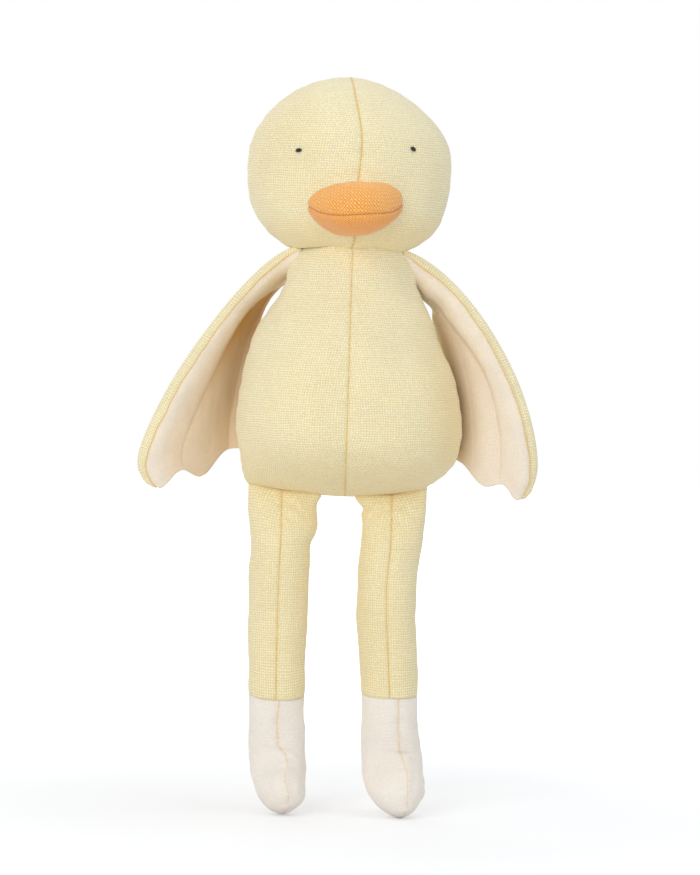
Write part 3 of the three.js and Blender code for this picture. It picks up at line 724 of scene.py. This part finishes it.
def make_eyes():
    """Each eye: three satin stitches side by side, each a strand along a short bowed line on the dimple."""
    half_long = 1.35
    strand_radius = 0.33
    strand_offsets = (-0.45, 0.0, 0.45)
    sunk = 0.5
    bow = 0.45
    middle_lift = 0.2
    slants = {"left": math.radians(36), "right": math.radians(12)}
    across = np.linspace(-1, 1, 15)
    for name, side in SIDES.items():
        slant = slants[name]
        up = np.array([side * 0.5, -0.85, 0.1])
        for number, offset in enumerate(strand_offsets):
            lengthwise = across * half_long * (1 - 0.65 * abs(offset))
            x = side * (eye_half_spacing[name] + lengthwise * math.cos(slant) + offset * math.sin(slant))
            height = eye_height[name] - lengthwise * math.sin(slant) + offset * math.cos(slant)
            line = on_face(x, height)
            line[:, 1] += sunk - bow * (1 - across ** 4) - middle_lift * (1 - 2 * offset ** 2)
            size = strand_radius * np.sqrt(np.maximum(1 - across ** 4, 0))
            beside = unit(np.cross(unit(np.gradient(line, axis=0)), up))
            points, uv = tube(line, beside, up, size, lengthwise)
            strand = cloth(f"{name}_eye_strand_{number + 1}", turned(points), uv, black_thread)
            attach(strand, "head")
        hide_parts(f"{name}_eye_stitch")


def make_bill():
    """The bill: at each place across it an egg-shaped ring, of fullness (1 - across squared) to a power.

    Its upper and lower outlines rise and drop from the line of its corners by such a fullness, and the mouth
    seam runs at a share of the height between them. The ring starts at the seam in front, goes up over the
    upper panel, through the head and back by the lower.
    """
    corner_height = 251.6
    corner_tilt = 0.087
    upper_rise = 6.3
    lower_drop = 16.2
    reach = 15.0
    bury = 4.0
    behind = 5.0
    fullness = 0.57
    mouth_share = 0.36
    mouth_sag = 0.18
    mouth_skew = 0.1
    under_painted_shade = 0.28
    bias = math.radians(38)
    across = -np.cos(np.linspace(0, np.pi, 121))
    eased = crowded(56, 0.85)
    turns = np.concatenate([eased[:-1] * np.pi, np.pi + eased * np.pi])
    bulge = np.maximum(1 - across ** 2, 0)
    full = bulge ** fullness
    x = across * bill_half_width
    face = on_face(x + bill_x, np.full_like(x, bill_seam_height))[:, 1]
    corners_z = corner_height + corner_tilt * x
    top_z = corners_z + upper_rise * full
    bottom_z = corners_z - lower_drop * np.sqrt(bulge)
    seam_z = lerp(bottom_z, top_z, mouth_share - mouth_sag * across ** 2 - mouth_skew * across ** 3)
    up = np.sin(turns)
    rise = np.where(up > 0, (top_z - seam_z)[:, None], (seam_z - bottom_z)[:, None]) * up
    forward = np.where(np.cos(turns) > 0, reach + bury, behind) * np.cos(turns) * full[:, None]
    points = grid(x[:, None] + bill_x, face[:, None] + bury - forward, seam_z[:, None] + rise)
    off = from_seam(turns, 1)[None] * (full * (upper_rise + lower_drop + 2 * reach) / 4)[:, None]
    along = distances(points[:, 0])
    relief = seam_relief(off, along[:, None], depth=0.5)
    relief += stuffed(points, (0.2, 16, 21), (0.1, 6, 22))
    relief *= smooth(full / 0.2)[:, None]
    away = points - points.mean(axis=(0, 1))
    points, _ = raised(points, relief * np.sign((away * outward(points)).sum()))
    u = off * math.cos(bias) - along[:, None] * math.sin(bias)
    v = off * math.sin(bias) + along[:, None] * math.cos(bias)
    # Painted shade on the lower panel, below the mouth seam, by its painted_shade value.
    piece = cloth("bill_cover", turned(points), grid(u, v), orange_linen,
                  {"seam": seam_tint(off, most=0.6), "painted_shade": under_painted_shade * smooth(-up * 2.0)[None]})
    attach(piece, "head")
    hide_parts("bill_upper_panel", "bill_lower_panel", "bill_stuffing")
    path = turned(points[4:-4, 0])
    way = np.tile([0.0, -1.0, -0.2], (len(path), 1))
    line = thread("bill_mouth_thread", path, way, mouth_thread, radius=0.16, pitch=2.6)
    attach(line, "head")


# Legs and feet

leg_half_spacing = 22.2
ankle_height = 46.55
foot_straight = 19.0
foot_bend_radius = 15.0
foot_bend = math.radians(55)
foot_length = 9.0
toe_length = 11.0
toe_turn = {"left": math.radians(19), "right": math.radians(11)}
cap_rows = 5


def bottom_seam_height(x):
    """Height of the body's bottom seam at x: its lowest place and a rise with the square of the way out."""
    share = np.clip((x - body_x - flank_lean["right"][1][0]) / bottom_seam_half, -1, 1)
    return body_bottom + bottom_seam_rise * share ** 2


def limb_cap(points):
    """A grid closed at both ends by rings that shrink to the middle of its first and last ring."""
    shrink = np.linspace(0, 1, cap_rows + 1)[:-1][:, None, None]
    first = points[0].mean(axis=0)
    last = points[-1].mean(axis=0)
    top = first + (points[0] - first)[None] * shrink
    bottom = last + (points[-1] - last)[None] * shrink[::-1]
    return np.concatenate([top, points, bottom])


# Lengths down a leg and how far its middle stands in x there, and the height, place and width of each pinch.
leg_sway = {
    "left": ((0, 20, 38, 50, 63, 75, 84), (0.2, 0.3, -0.8, -0.5, 0.5, 1.4, 1.9)),
    "right": ((0, 20, 38, 63, 84), (-0.2, 0.0, -0.4, -0.3, 0.0)),
}
leg_pinch = {
    "left": ((1.2, 0, 2.6), (-1.7, 5.2, 1.9), (-2.2, 13, 9)),
    "right": ((2.0, 0, 3.0), (0.9, 14.5, 5), (-0.9, 23, 4)),
}
ankle_dip = {"left": 0.9, "right": 1.8}
ankle_lift = {"left": 2.6, "right": 1.2}
hem_sink = 0.16
hem_reach = 1.2


def make_leg(name, side):
    """A leg's cover: an oval at each height, flat at its sewn top and round below, with two seams.

    Its top follows the body's bottom seam, and below that leg_pinch draws its inner side in and out.
    """
    overlap = 0.3
    flat_depth = 1.4
    full_depth = 12.0
    ankle_depth = 11.4
    full_after = 26
    waist_draw = 0.05
    waist_place = 78
    gather_reach = 22
    top_painted_shade = 0.75
    side_painted_shade = 0.1
    crease_height = 0.35
    crease_pitch = 5.5
    crease_down = 9
    crease_places = ((0.7, 4), (-0.6, -5))
    turns, columns, middles = panels(half_columns, 2)
    base = bottom_seam_height(side * leg_half_spacing)
    long = base - ankle_height - ankle_lift[name]
    down = np.linspace(0, 1, 190) ** 1.15 * long
    fill = smooth(down / 30) ** 0.5
    waist = 1 - waist_draw * bell(down, waist_place, 8)
    wide = through([0, 8, 16, 26, 48, long], [14.2, 13.9, 13.4, 12.6, 12.3, 11.6], down)
    filled = np.sin(np.clip(down / full_after, 0, 1) * QUARTER) ** 0.75
    deep = lerp(flat_depth, full_depth, filled) * waist
    deep = lerp(deep, ankle_depth, smooth(down / long) * fill)
    axis = side * leg_half_spacing + through(*leg_sway[name], down)
    x = axis[:, None] + wide[:, None] * np.sin(turns)
    y = middle_y - deep[:, None] * np.cos(turns)
    top = bottom_seam_height(x) + overlap
    gathered = top - down[:, None] + (base - top + overlap) * smooth(down / gather_reach)[:, None]
    z = np.where(down[:, None] < gather_reach, gathered, base - down[:, None])
    z = z - ankle_dip[name] * np.cos(turns) * smooth((down - long + 20) / 20)[:, None]
    points = grid(x, y, z)
    radius = (wide + deep) / 2
    off = from_seam(turns, 2)[None] * radius[:, None]
    inside = np.maximum(-side * np.sin(turns)[None], 0) ** 2
    pinch = sum(high * bell(down, at, width) for high, at, width in leg_pinch[name])
    steady = smooth((long - down) / 9)[:, None]
    relief = seam_relief(off, down[:, None], depth=0.65)
    relief += stuffed(points, (0.26, 22, 31 + side), (0.09, 8, 41 + side)) * steady
    relief += pinch[:, None] * inside
    creases = sum(crease_height * np.sin(TURN * (down[:, None] - bias * off) / crease_pitch + bias)
                  * bell(off, at, 3.5) for bias, at in crease_places)
    relief += creases * bell(down, crease_down, 7)[:, None]
    relief *= smooth((down + 2.0) / 3)[:, None]
    hem = 1 - smooth((long - down) / hem_reach)[:, None]
    relief -= hem_sink * hem
    points, normal = raised(points, relief)
    # The sunk hem at the ankle takes a fifth of the seam colour: a painted shade line.
    seam = np.maximum(seam_tint(off, most=0.5), 0.2 * hem)
    # Painted shade: strong at the leg's top under the body's bottom edge, and a little all round, more on the
    # inner side facing the other leg.
    painted_shade = np.maximum(top_painted_shade * np.exp(-down / 0.9)[:, None], side_painted_shade + side_painted_shade * inside)
    pad = ((cap_rows, cap_rows), (0, 0))
    uv = thread_map(turns, columns, middles, np.pad(radius, cap_rows, mode="edge"),
                    np.pad(down, cap_rows, mode="edge"))
    piece = cloth(f"{name}_leg_cover", limb_cap(points)[:, columns], uv, yellow_linen,
                  {"seam": np.pad(seam, pad, mode="edge")[:, columns],
                   "painted_shade": np.pad(painted_shade, pad, mode="edge")[:, columns]})
    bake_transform(piece)
    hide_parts(f"{name}_leg_outer_half", f"{name}_leg_inner_half", f"{name}_leg_stuffing")
    shown = (down > 1.0) & (down < long - 0.4)
    for face, column in half_seams.items():
        line = thread(f"{name}_leg_{face}_thread", points[shown, column], normal[shown, column], gold_thread,
                      radius=0.16)
        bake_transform(line)


# Lengths along a foot, and there how far its middle stands in x, its half width and how far its seam strays.
foot_sway = {
    "left": ((0, 15, 20, 28, 36, 46, 56), (1.9, 2.8, 3.1, 3.1, 2.5, 1.9, 2.6)),
    "right": ((0, 15, 32, 45, 56), (0.0, 0.5, 1.0, 1.0, 1.4)),
}
foot_wide = {
    "left": ((0, 12, 19, 28, 36, 46, 51.5, 58), (11.5, 11.6, 12.1, 12.9, 12.7, 11.4, 9.8, 9.4)),
    "right": ((0, 12, 24, 36, 46, 51.5, 58), (11.5, 11.2, 11.2, 11.0, 9.9, 9.5, 9.3)),
}
foot_seam_sway = {
    "left": ((0, 21, 36, 41, 48, 54, 58), (0.0, 0.0, 1.8, 2.2, 1.4, 0.2, 1.0)),
    "right": ((0, 10, 21, 36, 41, 48, 54, 58), (-0.6, -1.8, -1.0, 1.8, 1.4, -0.4, 1.2, 0.0)),
}


def make_foot(name, side):
    """A foot's cover: an oval carried down the ankle, round a bend to the front and out to a rounded toe.

    It is kinked in front at the bend, gathered round the toe and puckered along the toe's seam. A fold has a
    height, a place past the kink and a width, and a bump also a place beside the seam and a width there.
    """
    toe_power = 0.62
    kink_after = 5.0
    kink_slant = 0.5
    folds = ((-0.5, 0, 2.4), (0.25, 5.5, 3.5))
    bumps = ((0.8, 6, 3.0, 3.4, 2.0), (-0.5, 1, 2.0, 4.5, 3.0))
    gather_height = 0.28
    gathers = 9
    pucker_height = 0.3
    pucker_pitch = 4.6
    turns, columns, middles = panels(half_columns, 2)
    bend_long = foot_bend_radius * foot_bend
    straight = foot_straight + ankle_lift[name]
    whole = straight + bend_long + foot_length + toe_length
    way = np.concatenate([np.linspace(0, whole - toe_length, 120)[:-1],
                          whole - toe_length * (1 - np.sin(np.linspace(0, QUARTER, 40)))])
    lean = np.clip((way - straight) / foot_bend_radius, 0, foot_bend)
    after = np.maximum(way - straight - bend_long, 0)
    ahead = foot_bend_radius * (1 - np.cos(lean)) + after * math.sin(foot_bend)
    down = np.minimum(way, straight) + foot_bend_radius * np.sin(lean) + after * math.cos(foot_bend)
    toe = np.clip((way - whole + toe_length) / toe_length, 0, 1)
    close = np.maximum(1 - toe ** 2, 0) ** toe_power
    wide = through(*foot_wide[name], way) * close
    deep = through([0, 12, 22, 32, whole], [11.4, 11.4, 11.0, 10.2, 9.8], way) * close
    peak = lerp(1.0, 1.5, smooth((way - straight) / 22))[:, None]
    x = wide[:, None] * np.sign(np.sin(turns)) * np.abs(np.sin(turns)) ** peak
    x = x + through(*foot_sway[name], way)[:, None]
    x = x + (through(*foot_seam_sway[name], way) * close ** 0.5)[:, None] * np.maximum(np.cos(turns), 0) ** 2
    lift = deep[:, None] * np.cos(turns)
    y = -ahead[:, None] - lift * np.cos(lean)[:, None]
    z = ankle_height + ankle_lift[name] - down[:, None] + lift * np.sin(lean)[:, None]
    z = z - ankle_dip[name] * np.cos(turns) * (1 - smooth(way / 18))[:, None]
    points = grid(x, y, z)
    radius = (wide + deep) / 2
    off = from_seam(turns, 2)[None] * radius[:, None]
    row = way[:, None]
    relief = seam_relief(off, row, depth=0.4)
    relief += stuffed(points, (0.35, 18, 51 + side), (0.12, 7, 61 + side)) * smooth(row / 9)
    front = np.maximum(np.cos(turns), 0)[None] ** 1.5
    kink = straight + kink_after
    for high, past, width in folds:
        relief += high * bell(row - kink_slant * off, kink + past, width) * front ** 3
    beside = np.sin(turns)[None] * radius[:, None]
    for high, past, width, aside, breadth in bumps:
        relief += high * bell(row, kink + past, width) * bell(beside, aside, breadth) * front
    spread = np.arctan2(np.sin(turns), np.cos(turns))[None]
    gather = gather_height * np.sin(gathers * spread + 0.5) * bell(row, whole - 9, 8)
    relief += gather * smooth((whole - row) / 6) * front
    pucker = pucker_height * np.sin(TURN * row / pucker_pitch + 2 * spread)
    relief += pucker * bell(off, 0, 4.5) * bell(row, whole - 14, 9)
    relief -= hem_sink * (1 - smooth(row / hem_reach))
    relief *= smooth(close / 0.25)[:, None]
    points, normal = raised(points, relief)
    points[-1] = points[-1].mean(axis=0)
    points[..., 2] = np.maximum(points[..., 2], 0.0)
    place = spun(points, toe_turn[name]) + np.array([side * leg_half_spacing, middle_y, 0])
    normal = spun(normal, toe_turn[name])
    closed = limb_cap(place)[:-cap_rows]
    pad = (cap_rows, 0)
    uv = thread_map(turns, columns, middles, np.pad(radius, pad, mode="edge"),
                    np.pad(distances(place[:, half_columns // 2]), pad, mode="edge"))
    seam = np.pad(seam_tint(off, most=0.6, width=0.5), (pad, (0, 0)), mode="edge")
    piece = cloth(f"{name}_foot_cover", closed[:, columns], uv, foot_cotton, {"seam": seam[:, columns]})
    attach(piece, f"{name}_leg")
    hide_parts(f"{name}_foot_outer_half", f"{name}_foot_inner_half")
    shown = (way > 0.6) & (way < whole - 0.3)
    for face, column in half_seams.items():
        line = thread(f"{name}_foot_{face}_thread", place[shown, column], normal[shown, column],
                      peach_thread, radius=0.2)
        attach(line, f"{name}_leg")
    hem_line = thread(f"{name}_ankle_thread", place[0], normal[0], peach_thread, radius=0.08)
    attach(hem_line, f"{name}_leg")


# Wings

# A wing's outline in x from the middle and z: its leading edge, its tip and its bottom at shares across.
wing_edge = {
    "left": ((23.2, 229.6), (53.2, 220.1), (78.5, 167.8), (78.3, 142.8)),
    "right": ((17.0, 229.6), (36.5, 230.3), (83.3, 150.4), (78.5, 137.4)),
}
wing_tip = {
    "left": ((78.3, 142.8), (78.3, 138.8), (78.0, 134.0), (76.2, 131.2)),
    "right": ((78.5, 137.4), (77.7, 135.2), (76.6, 132.6), (74.4, 131.4)),
}
wing_bottom_share = (0.0, 0.10, 0.36, 0.565, 0.825, 1.0)
wing_bottom = {
    "left": ((76.2, 131.2), (73.3, 130.4), (67.2, 136.4), (59.8, 135.4), (51.4, 143.9), (46.6, 146.3)),
    "right": ((74.4, 131.4), (71.8, 130.8), (63.2, 138.4), (55.9, 135.6), (46.4, 146.2), (38.7, 147.2)),
}
# Shares across where the first crease lies at shares down, and the second at the root and the bottom.
wing_fold = {
    "left": ((0.0, 0.10, 0.20, 0.31, 0.40, 0.48, 0.56, 0.67, 0.80, 1.0),
             (1.0, 0.97, 0.86, 0.70, 0.58, 0.48, 0.41, 0.39, 0.40, 0.42)),
    "right": ((0.0, 0.10, 0.20, 0.30, 0.45, 0.60, 1.0), (1.0, 0.97, 0.77, 0.57, 0.50, 0.48, 0.385)),
}
wing_second_fold = {"left": (0.66, 0.70), "right": (0.66, 0.86)}
# The share across from which a wing hangs level, and the power by which it hangs back until there.
wing_drape = {"left": (1.0, 2.9), "right": (0.85, 2.4)}
# Depth of the recess, fullness of the roll, how soon the lining steps back, and the roll's share low down.
wing_recess = {"left": 2.2, "right": 5.5}
wing_puff = {"left": 3.4, "right": 2.9}
wing_step = {"left": 0.08, "right": 0.05}
wing_fade = {"left": 0.8, "right": 0.25}
# The trailing edge in x, y and z, and how far it stands out below the armpit.
wing_trail = {
    "left": ((27.0, 1.0, 217.0), (39.5, 10, 206.5), (44.8, 28, 183.5), (46.6, 15.5, 147)),
    "right": ((22.4, 1.0, 216.5), (37.6, 10, 206.5), (37.0, 25, 183.5), (38.7, 20, 147)),
}
wing_notch = {"left": 2.0, "right": 0.0}
# Painted shade values of the lining: in the recess, by the trailing edge, and past the roll.
wing_shade = {"left": 0.12, "right": 0.8}
wing_trailing_painted_shade = {"left": 0.4, "right": 0.1}
wing_past_roll_painted_shade = {"left": 0.06, "right": 0.3}
# Shares down the leading edge, and its place in y there.
wing_lead_depth = ((0, 0.1, 0.35, 0.75, 1.0), (-9.5, -6.0, -3.2, -6.0, -5.0))
wing_band = 2.2
wing_thin = 0.95
outer_cloth = 0.5
lining_cloth = 0.4


def wing_edges(name, v):
    """A wing's leading and trailing edges at shares v from root to bottom, x counted from the middle."""
    fine = np.linspace(0, 1, 200)
    lead = np.concatenate([bezier(wing_edge[name], fine), bezier(wing_tip[name], fine[1:])])
    long = distances(lead)
    lead_x, lead_z = (np.interp(v * long[-1], long, part) for part in lead.T)
    leading = grid(lead_x, through(*wing_lead_depth, v), lead_z)
    trailing = bezier(wing_trail[name], v)
    trailing[:, 0] += wing_notch[name] * bell(v, 0.24, 0.06)
    return leading, trailing


def wing_sheet(name, side, u, v):
    """Points of a wing's middle sheet at shares u from its leading to its trailing edge and v from the root.

    It is ruled from edge to edge and drawn to the scalloped bottom by the cube of v. It hangs back behind
    the flank by a power of u, until a strip that is level, and is a little lumpy.
    """
    leading, trailing = wing_edges(name, v)
    reach = lerp(leading[:, None], trailing[:, None], u[None, :, None])
    level, power = wing_drape[name]
    back = np.clip(u / level, 0, 1) ** power
    reach[..., 1] = lerp(leading[:, 1][:, None], trailing[:, 1][:, None], back)
    bottom = through(wing_bottom_share, wing_bottom[name], u)
    straight = lerp(leading[-1], trailing[-1], u[:, None])
    drawn = v[:, None] ** 3
    reach[..., 0] += drawn * (bottom[:, 0] - straight[:, 0])
    reach[..., 2] += drawn * (bottom[:, 1] - straight[:, 2])
    grown = smooth((v - 0.1) / 0.2)[:, None] * smooth((1 - u) / 0.1) * smooth((1 - v) / 0.05)[:, None]
    reach[..., 1] -= grown * stuffed(reach, (0.25, 15, 81 + side), (0.1, 6, 91 + side))
    reach[..., 0] *= side
    reach[..., 1] += middle_y
    return reach


def wing_folds(name, u, v):
    """How far forward a wing's lining and its outer cloth lie off the middle sheet, each as a grid.

    The lining has a full roll beside the leading edge, a steep step back into the recess behind that roll,
    two creases and a faint lobe between them. The outer cloth goes into the same recess sooner and gently.
    The roll's scale brings its top to 1.
    """
    roll_scale = 1.66
    lobe_height = 0.35
    first_depth = 0.45
    first_width = 1.0
    second_depth = 0.5
    second_width = 1.3
    leading, trailing = wing_edges(name, v)
    chord = np.linalg.norm(leading - trailing, axis=1)[:, None]
    first = through(*wing_fold[name], v)[:, None]
    second = lerp(*wing_second_fold[name], v)[:, None]
    grown = smooth((v - 0.04) / 0.14)[:, None] * smooth((1 - v) / 0.06)[:, None]
    low = smooth((v - 0.55) / 0.4)[:, None]
    lobe_share = np.clip((u - first) / np.maximum(second - first, 0.1), 0, 1)
    into = np.clip(u / first, 0, 1)
    roll_kept = lerp(1.0, wing_fade[name], low)
    round_roll = roll_scale * into ** 0.5 * (1 - into) ** 0.28 * roll_kept
    front = wing_puff[name] * round_roll + lobe_height * low * np.sin(lobe_share * np.pi)
    front -= first_depth * roll_kept * np.exp(-np.abs(u - first) * chord / first_width)
    second_crease = second_depth * np.exp(-np.abs(u - second) * chord / second_width)
    front -= second_crease * smooth((v - 0.35) / 0.15)[:, None]
    depth = wing_recess[name] * bell(v, 0.38, 0.24)[:, None] * smooth((1 - u) / 0.4)
    lining = grown * smooth((1 - u) / 0.12) * (front - depth * smooth((u - first + 0.03) / wing_step[name]))
    outer = -grown * depth * smooth((u - first + 0.26) / 0.3)
    return lining, outer


def wing_roll(v):
    """Radius of the padded leading edge: slim at the root, full from the elbow on and slim at the tip."""
    root_radius = 1.4
    full_radius = 3.1
    tip_share = 0.5
    swell = lerp(root_radius, full_radius, np.clip(v / 0.6, 0, 1))
    return swell * lerp(1.0, tip_share, smooth((v - 0.88) / 0.12))


def wing_half(u, v):
    """Half the wing's thickness: the roll's radius in front, thin past it, and closed at the other edges."""
    body = lerp(wing_roll(v)[:, None], wing_thin, smooth(u / 0.3)[None])
    edge = np.minimum(smooth((1 - u) / 0.1)[None], smooth((1 - v) / 0.03)[:, None])
    return lerp(0.6, body, edge)


def across_rows(points):
    """Length along each row of a grid, from its first column."""
    steps = np.linalg.norm(np.diff(points, axis=1), axis=2)
    return np.concatenate([np.zeros((len(points), 1)), np.cumsum(steps, axis=1)], axis=1)


def along_rows(points, long, want):
    """Points at wanted lengths along each row of a grid, whose own lengths are given."""
    rows = np.arange(len(points))[:, None]
    k = np.clip((long[:, None, :] < want[:, :, None]).sum(axis=2) - 1, 0, points.shape[1] - 2)
    t = (want - long[rows, k]) / np.maximum(long[rows, k + 1] - long[rows, k], 1e-9)
    return lerp(points[rows, k], points[rows, k + 1], t[..., None])


def make_wing(name, side):
    """A wing: an outer cloth, a lining and the thread where they meet.

    The outer cloth goes from the trailing edge behind, round the roll of the leading edge, to a band in
    front, and the lining from under that band to the trailing edge. Each is the middle sheet moved out by
    half the wing's thickness.
    """
    band_lift = 0.3
    under_band = 0.7
    low_band_share = 0.45
    v = np.linspace(0, 1, 150)
    u = np.linspace(0, 1, 120) ** 1.1
    middle = wing_sheet(name, side, u, v)
    edge_way = outward(middle, wrap=False)[:, 1]
    edge_way *= np.sign(edge_way[:, 1:2])
    straight_back = np.array([0.0, 1.0, 0.0])
    to_back = unit(lerp(edge_way[:, None], straight_back, smooth(u / 0.25)[None, :, None]))
    half = wing_half(u, v)
    lining_front, outer_front = wing_folds(name, u, v)
    behind = middle + to_back * half[..., None] - outer_front[..., None] * straight_back
    ahead = middle - to_back * half[..., None] - lining_front[..., None] * straight_back
    out = unit(np.cross(np.gradient(middle[:, 0], axis=0), to_back[:, 0]))
    out *= np.sign((out * (middle[:, 0] - middle[:, 5])).sum(axis=1, keepdims=True))
    turn = np.linspace(-QUARTER, QUARTER, 17)[None, :, None]
    roll = middle[:, :1] + half[:, :1, None] * (np.cos(turn) * out[:, None] + np.sin(turn) * to_back[:, :1])
    front_long = across_rows(ahead)
    band_wide = wing_band * smooth((v + 0.06) / 0.16) * lerp(1.0, low_band_share, smooth((v - 0.5) / 0.35))
    band_share = np.linspace(1, 0, 14)
    band = along_rows(ahead, front_long, band_wide[:, None] * band_share)
    band = band - to_back[:, :1] * (band_lift * smooth((1 - band_share) / 0.25 + 0.1))[None, :, None]
    outer = np.concatenate([band, roll[:, 1:], behind[:, 1:]], axis=1)
    outer_long = across_rows(outer)
    down = distances(middle[:, 20])
    piece = sheet(f"{name}_wing_outer_cloth", outer, outer_long, down, wing_linen,
                  {"seam": seam_tint(outer_long, most=0.8, width=0.5)}, outer_cloth, to_back)
    want = lerp(band_wide[:, None] - under_band, front_long[:, -1:], np.linspace(0, 1, 120)[None])
    want = np.maximum(want, 0)
    lining = along_rows(ahead, front_long, want)
    lining_u = along_rows(np.broadcast_to(u[None, :, None], (*half.shape, 1)), front_long, want)[..., 0]
    lining_long = across_rows(lining)
    first = through(*wing_fold[name], v)[:, None]
    past = lining_u - first
    # Painted shade on the lining: shaded in the recess behind the roll, warm by the trailing edge beside the
    # body, and tint past the roll.
    shaded = wing_shade[name] * smooth(past / 0.03 + 0.5) * np.exp(-np.maximum(past, 0) / 0.5)
    shaded = shaded * bell(v, 0.34, 0.25)[:, None]
    warm = wing_trailing_painted_shade[name] * smooth((lining_u - 0.62) / 0.38) * smooth((v - 0.2) / 0.3)[:, None]
    tint = wing_past_roll_painted_shade[name] * smooth((lining_u / first - 0.3) / 0.6)
    values = {"seam": seam_tint(lining_long - under_band, most=0.6, width=0.5),
              "painted_shade": np.clip(shaded + warm + tint, 0, 1)}
    inside = sheet(f"{name}_wing_lining_cloth", lining, lining_long, down, lining_cotton, values,
                   lining_cloth, -to_back)
    path = band[:, 0] - to_back[:, 0] * 0.05
    line = thread(f"{name}_wing_band_thread", path[6:-1], -to_back[6:-1, 0], gold_thread, radius=0.12)
    for part in (piece, inside, line):
        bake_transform(part)
    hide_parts(f"{name}_wing_outer", f"{name}_wing_wadding")
    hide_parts(f"{name}_wing_lining")


def sheet(name, points, long, down, material, values, thick, away):
    """An open cloth of a wing, whose faces look away from the wing and whose thickness is on its inner side.

    Its thread map takes the length along each row and the length down the wing. The ways away from the
    middle sheet are compared with the normals of the cloth's last columns, which lie over that sheet's.
    """
    far = 60
    middle = (75, 60)
    way = outward(points, wrap=False)
    way *= np.sign((way[:, -far:] * away[:, -far:]).sum())
    uv = grid(long, down[:, None])
    piece = cloth(name, points, uv, material, values, closed=False)
    face_out(piece, points[middle], way[middle])
    solid = piece.modifiers.new("cloth thickness", "SOLIDIFY")
    solid.thickness = thick * MM
    solid.offset = -1
    solid.use_even_offset = False
    return piece


def face_out(piece, place, way):
    """Turns a sheet's faces so that they look the way given at the place given."""
    mesh = piece.data
    centres = np.empty(len(mesh.polygons) * 3)
    mesh.polygons.foreach_get("center", centres)
    near = int(np.argmin(np.linalg.norm(centres.reshape(-1, 3) - place * MM, axis=1)))
    if np.dot(np.array(mesh.polygons[near].normal), way) < 0:
        mesh.flip_normals()


# Stage

def make_floor():
    """A pale floor that keeps the object's shadow and is seen as white away from it."""
    half = 3.0
    corners = [(-half, -half, 0), (half, -half, 0), (half, half, 0), (-half, half, 0)]
    mesh = bpy.data.meshes.new("floor")
    mesh.from_pydata(corners, [], [(0, 1, 2, 3)])
    n = Nodes(bpy.data.materials.new("pale_floor"))
    n.preset({"Base Color": (0.85, 0.85, 0.85, 1), "Roughness": 1.0, "Specular IOR Level": 0.0})
    away = n.add("ShaderNodeVectorMath", {0: n.object_place()}, output=1, operation="LENGTH")
    matt = n.add("ShaderNodeBsdfDiffuse", {"Color": (0.75, 0.765, 0.79, 1)})
    glow = n.add("ShaderNodeEmission", {"Strength": n.range(away, 0.1, 0.6, 0.32, 0.95)})
    seen = n.add("ShaderNodeAddShader", {0: matt, 1: glow})
    pick = n.add("ShaderNodeMixShader", {0: n.seen_rays(), 1: n.shader.outputs[0], 2: seen})
    n.tree.links.new(pick, n.tree.nodes["Material Output"].inputs[0])
    mesh.materials.append(n.owner)
    floor = bpy.data.objects.new("floor", mesh)
    scene.collection.objects.link(floor)


def make_world(ambient):
    """Soft light from all round, and plain white where the background is seen."""
    scene.world = bpy.data.worlds.new("studio")
    n = Nodes(scene.world)
    light = n.add("ShaderNodeBackground", {0: (1.0, 0.985, 0.965, 1), 1: ambient})
    white = n.add("ShaderNodeBackground", {0: (1, 1, 1, 1), 1: 1.0})
    pick = n.add("ShaderNodeMixShader", {0: n.seen_rays(), 1: light, 2: white})
    n.tree.links.new(pick, n.tree.nodes["World Output"].inputs[0])


def lamp(name, place, size, power, colour, aim):
    """A square soft lamp at a place, turned to what it lights."""
    data = bpy.data.lights.new(name, "AREA")
    data.size = size
    data.energy = power
    data.color = colour
    holder = bpy.data.objects.new(name, data)
    holder.location = place
    holder.rotation_euler = (Vector(aim) - Vector(place)).to_track_quat("-Z", "Y").to_euler()
    scene.collection.objects.link(holder)


def make_camera():
    """A long lens in front, a little above the middle, rolled as the photograph stands."""
    aim = np.array([4.58, 0.0, 153.8]) * MM
    away = 1.55
    rise = math.radians(2.0)
    roll = math.radians(1.8)
    frame_height = 0.3561
    sensor = 36.0
    data = bpy.data.cameras.new("camera")
    data.sensor_fit = "AUTO"
    data.sensor_width = sensor
    data.lens = sensor * away / frame_height
    camera = bpy.data.objects.new("camera", data)
    scene.collection.objects.link(camera)
    place = aim + away * np.array([0, -math.cos(rise), math.sin(rise)])
    look = Vector(aim - place).to_track_quat("-Z", "Y")
    camera.location = place
    camera.rotation_euler = (look @ Quaternion((0, 0, 1), roll)).to_euler()
    scene.camera = camera


make_camera()
make_body()
make_head()
make_eyes()
make_bill()
for side_name, side_sign in SIDES.items():
    make_leg(side_name, side_sign)
    make_foot(side_name, side_sign)
    make_wing(side_name, side_sign)
make_floor()
make_world(ambient=0.6)
lamp("key", place=(-0.65, -1.45, 0.75), size=1.0, power=9.0, colour=(1.0, 0.99, 0.985), aim=(0, 0, 0.16))
lamp("fill", place=(1.3, -0.8, 0.6), size=0.9, power=1.6, colour=(0.78, 0.88, 1.0), aim=(0, 0, 0.16))
lamp("overhead", place=(0.3, 0.0, 1.5), size=0.6, power=2.6, colour=(0.84, 0.92, 1.0), aim=(0, 0, 0.0))
lamp("rear", place=(-0.5, 1.5, 0.6), size=1.2, power=5.5, colour=(1.0, 0.99, 0.97), aim=(0, 0, 0.16))
scene.view_settings.view_transform = "Standard"
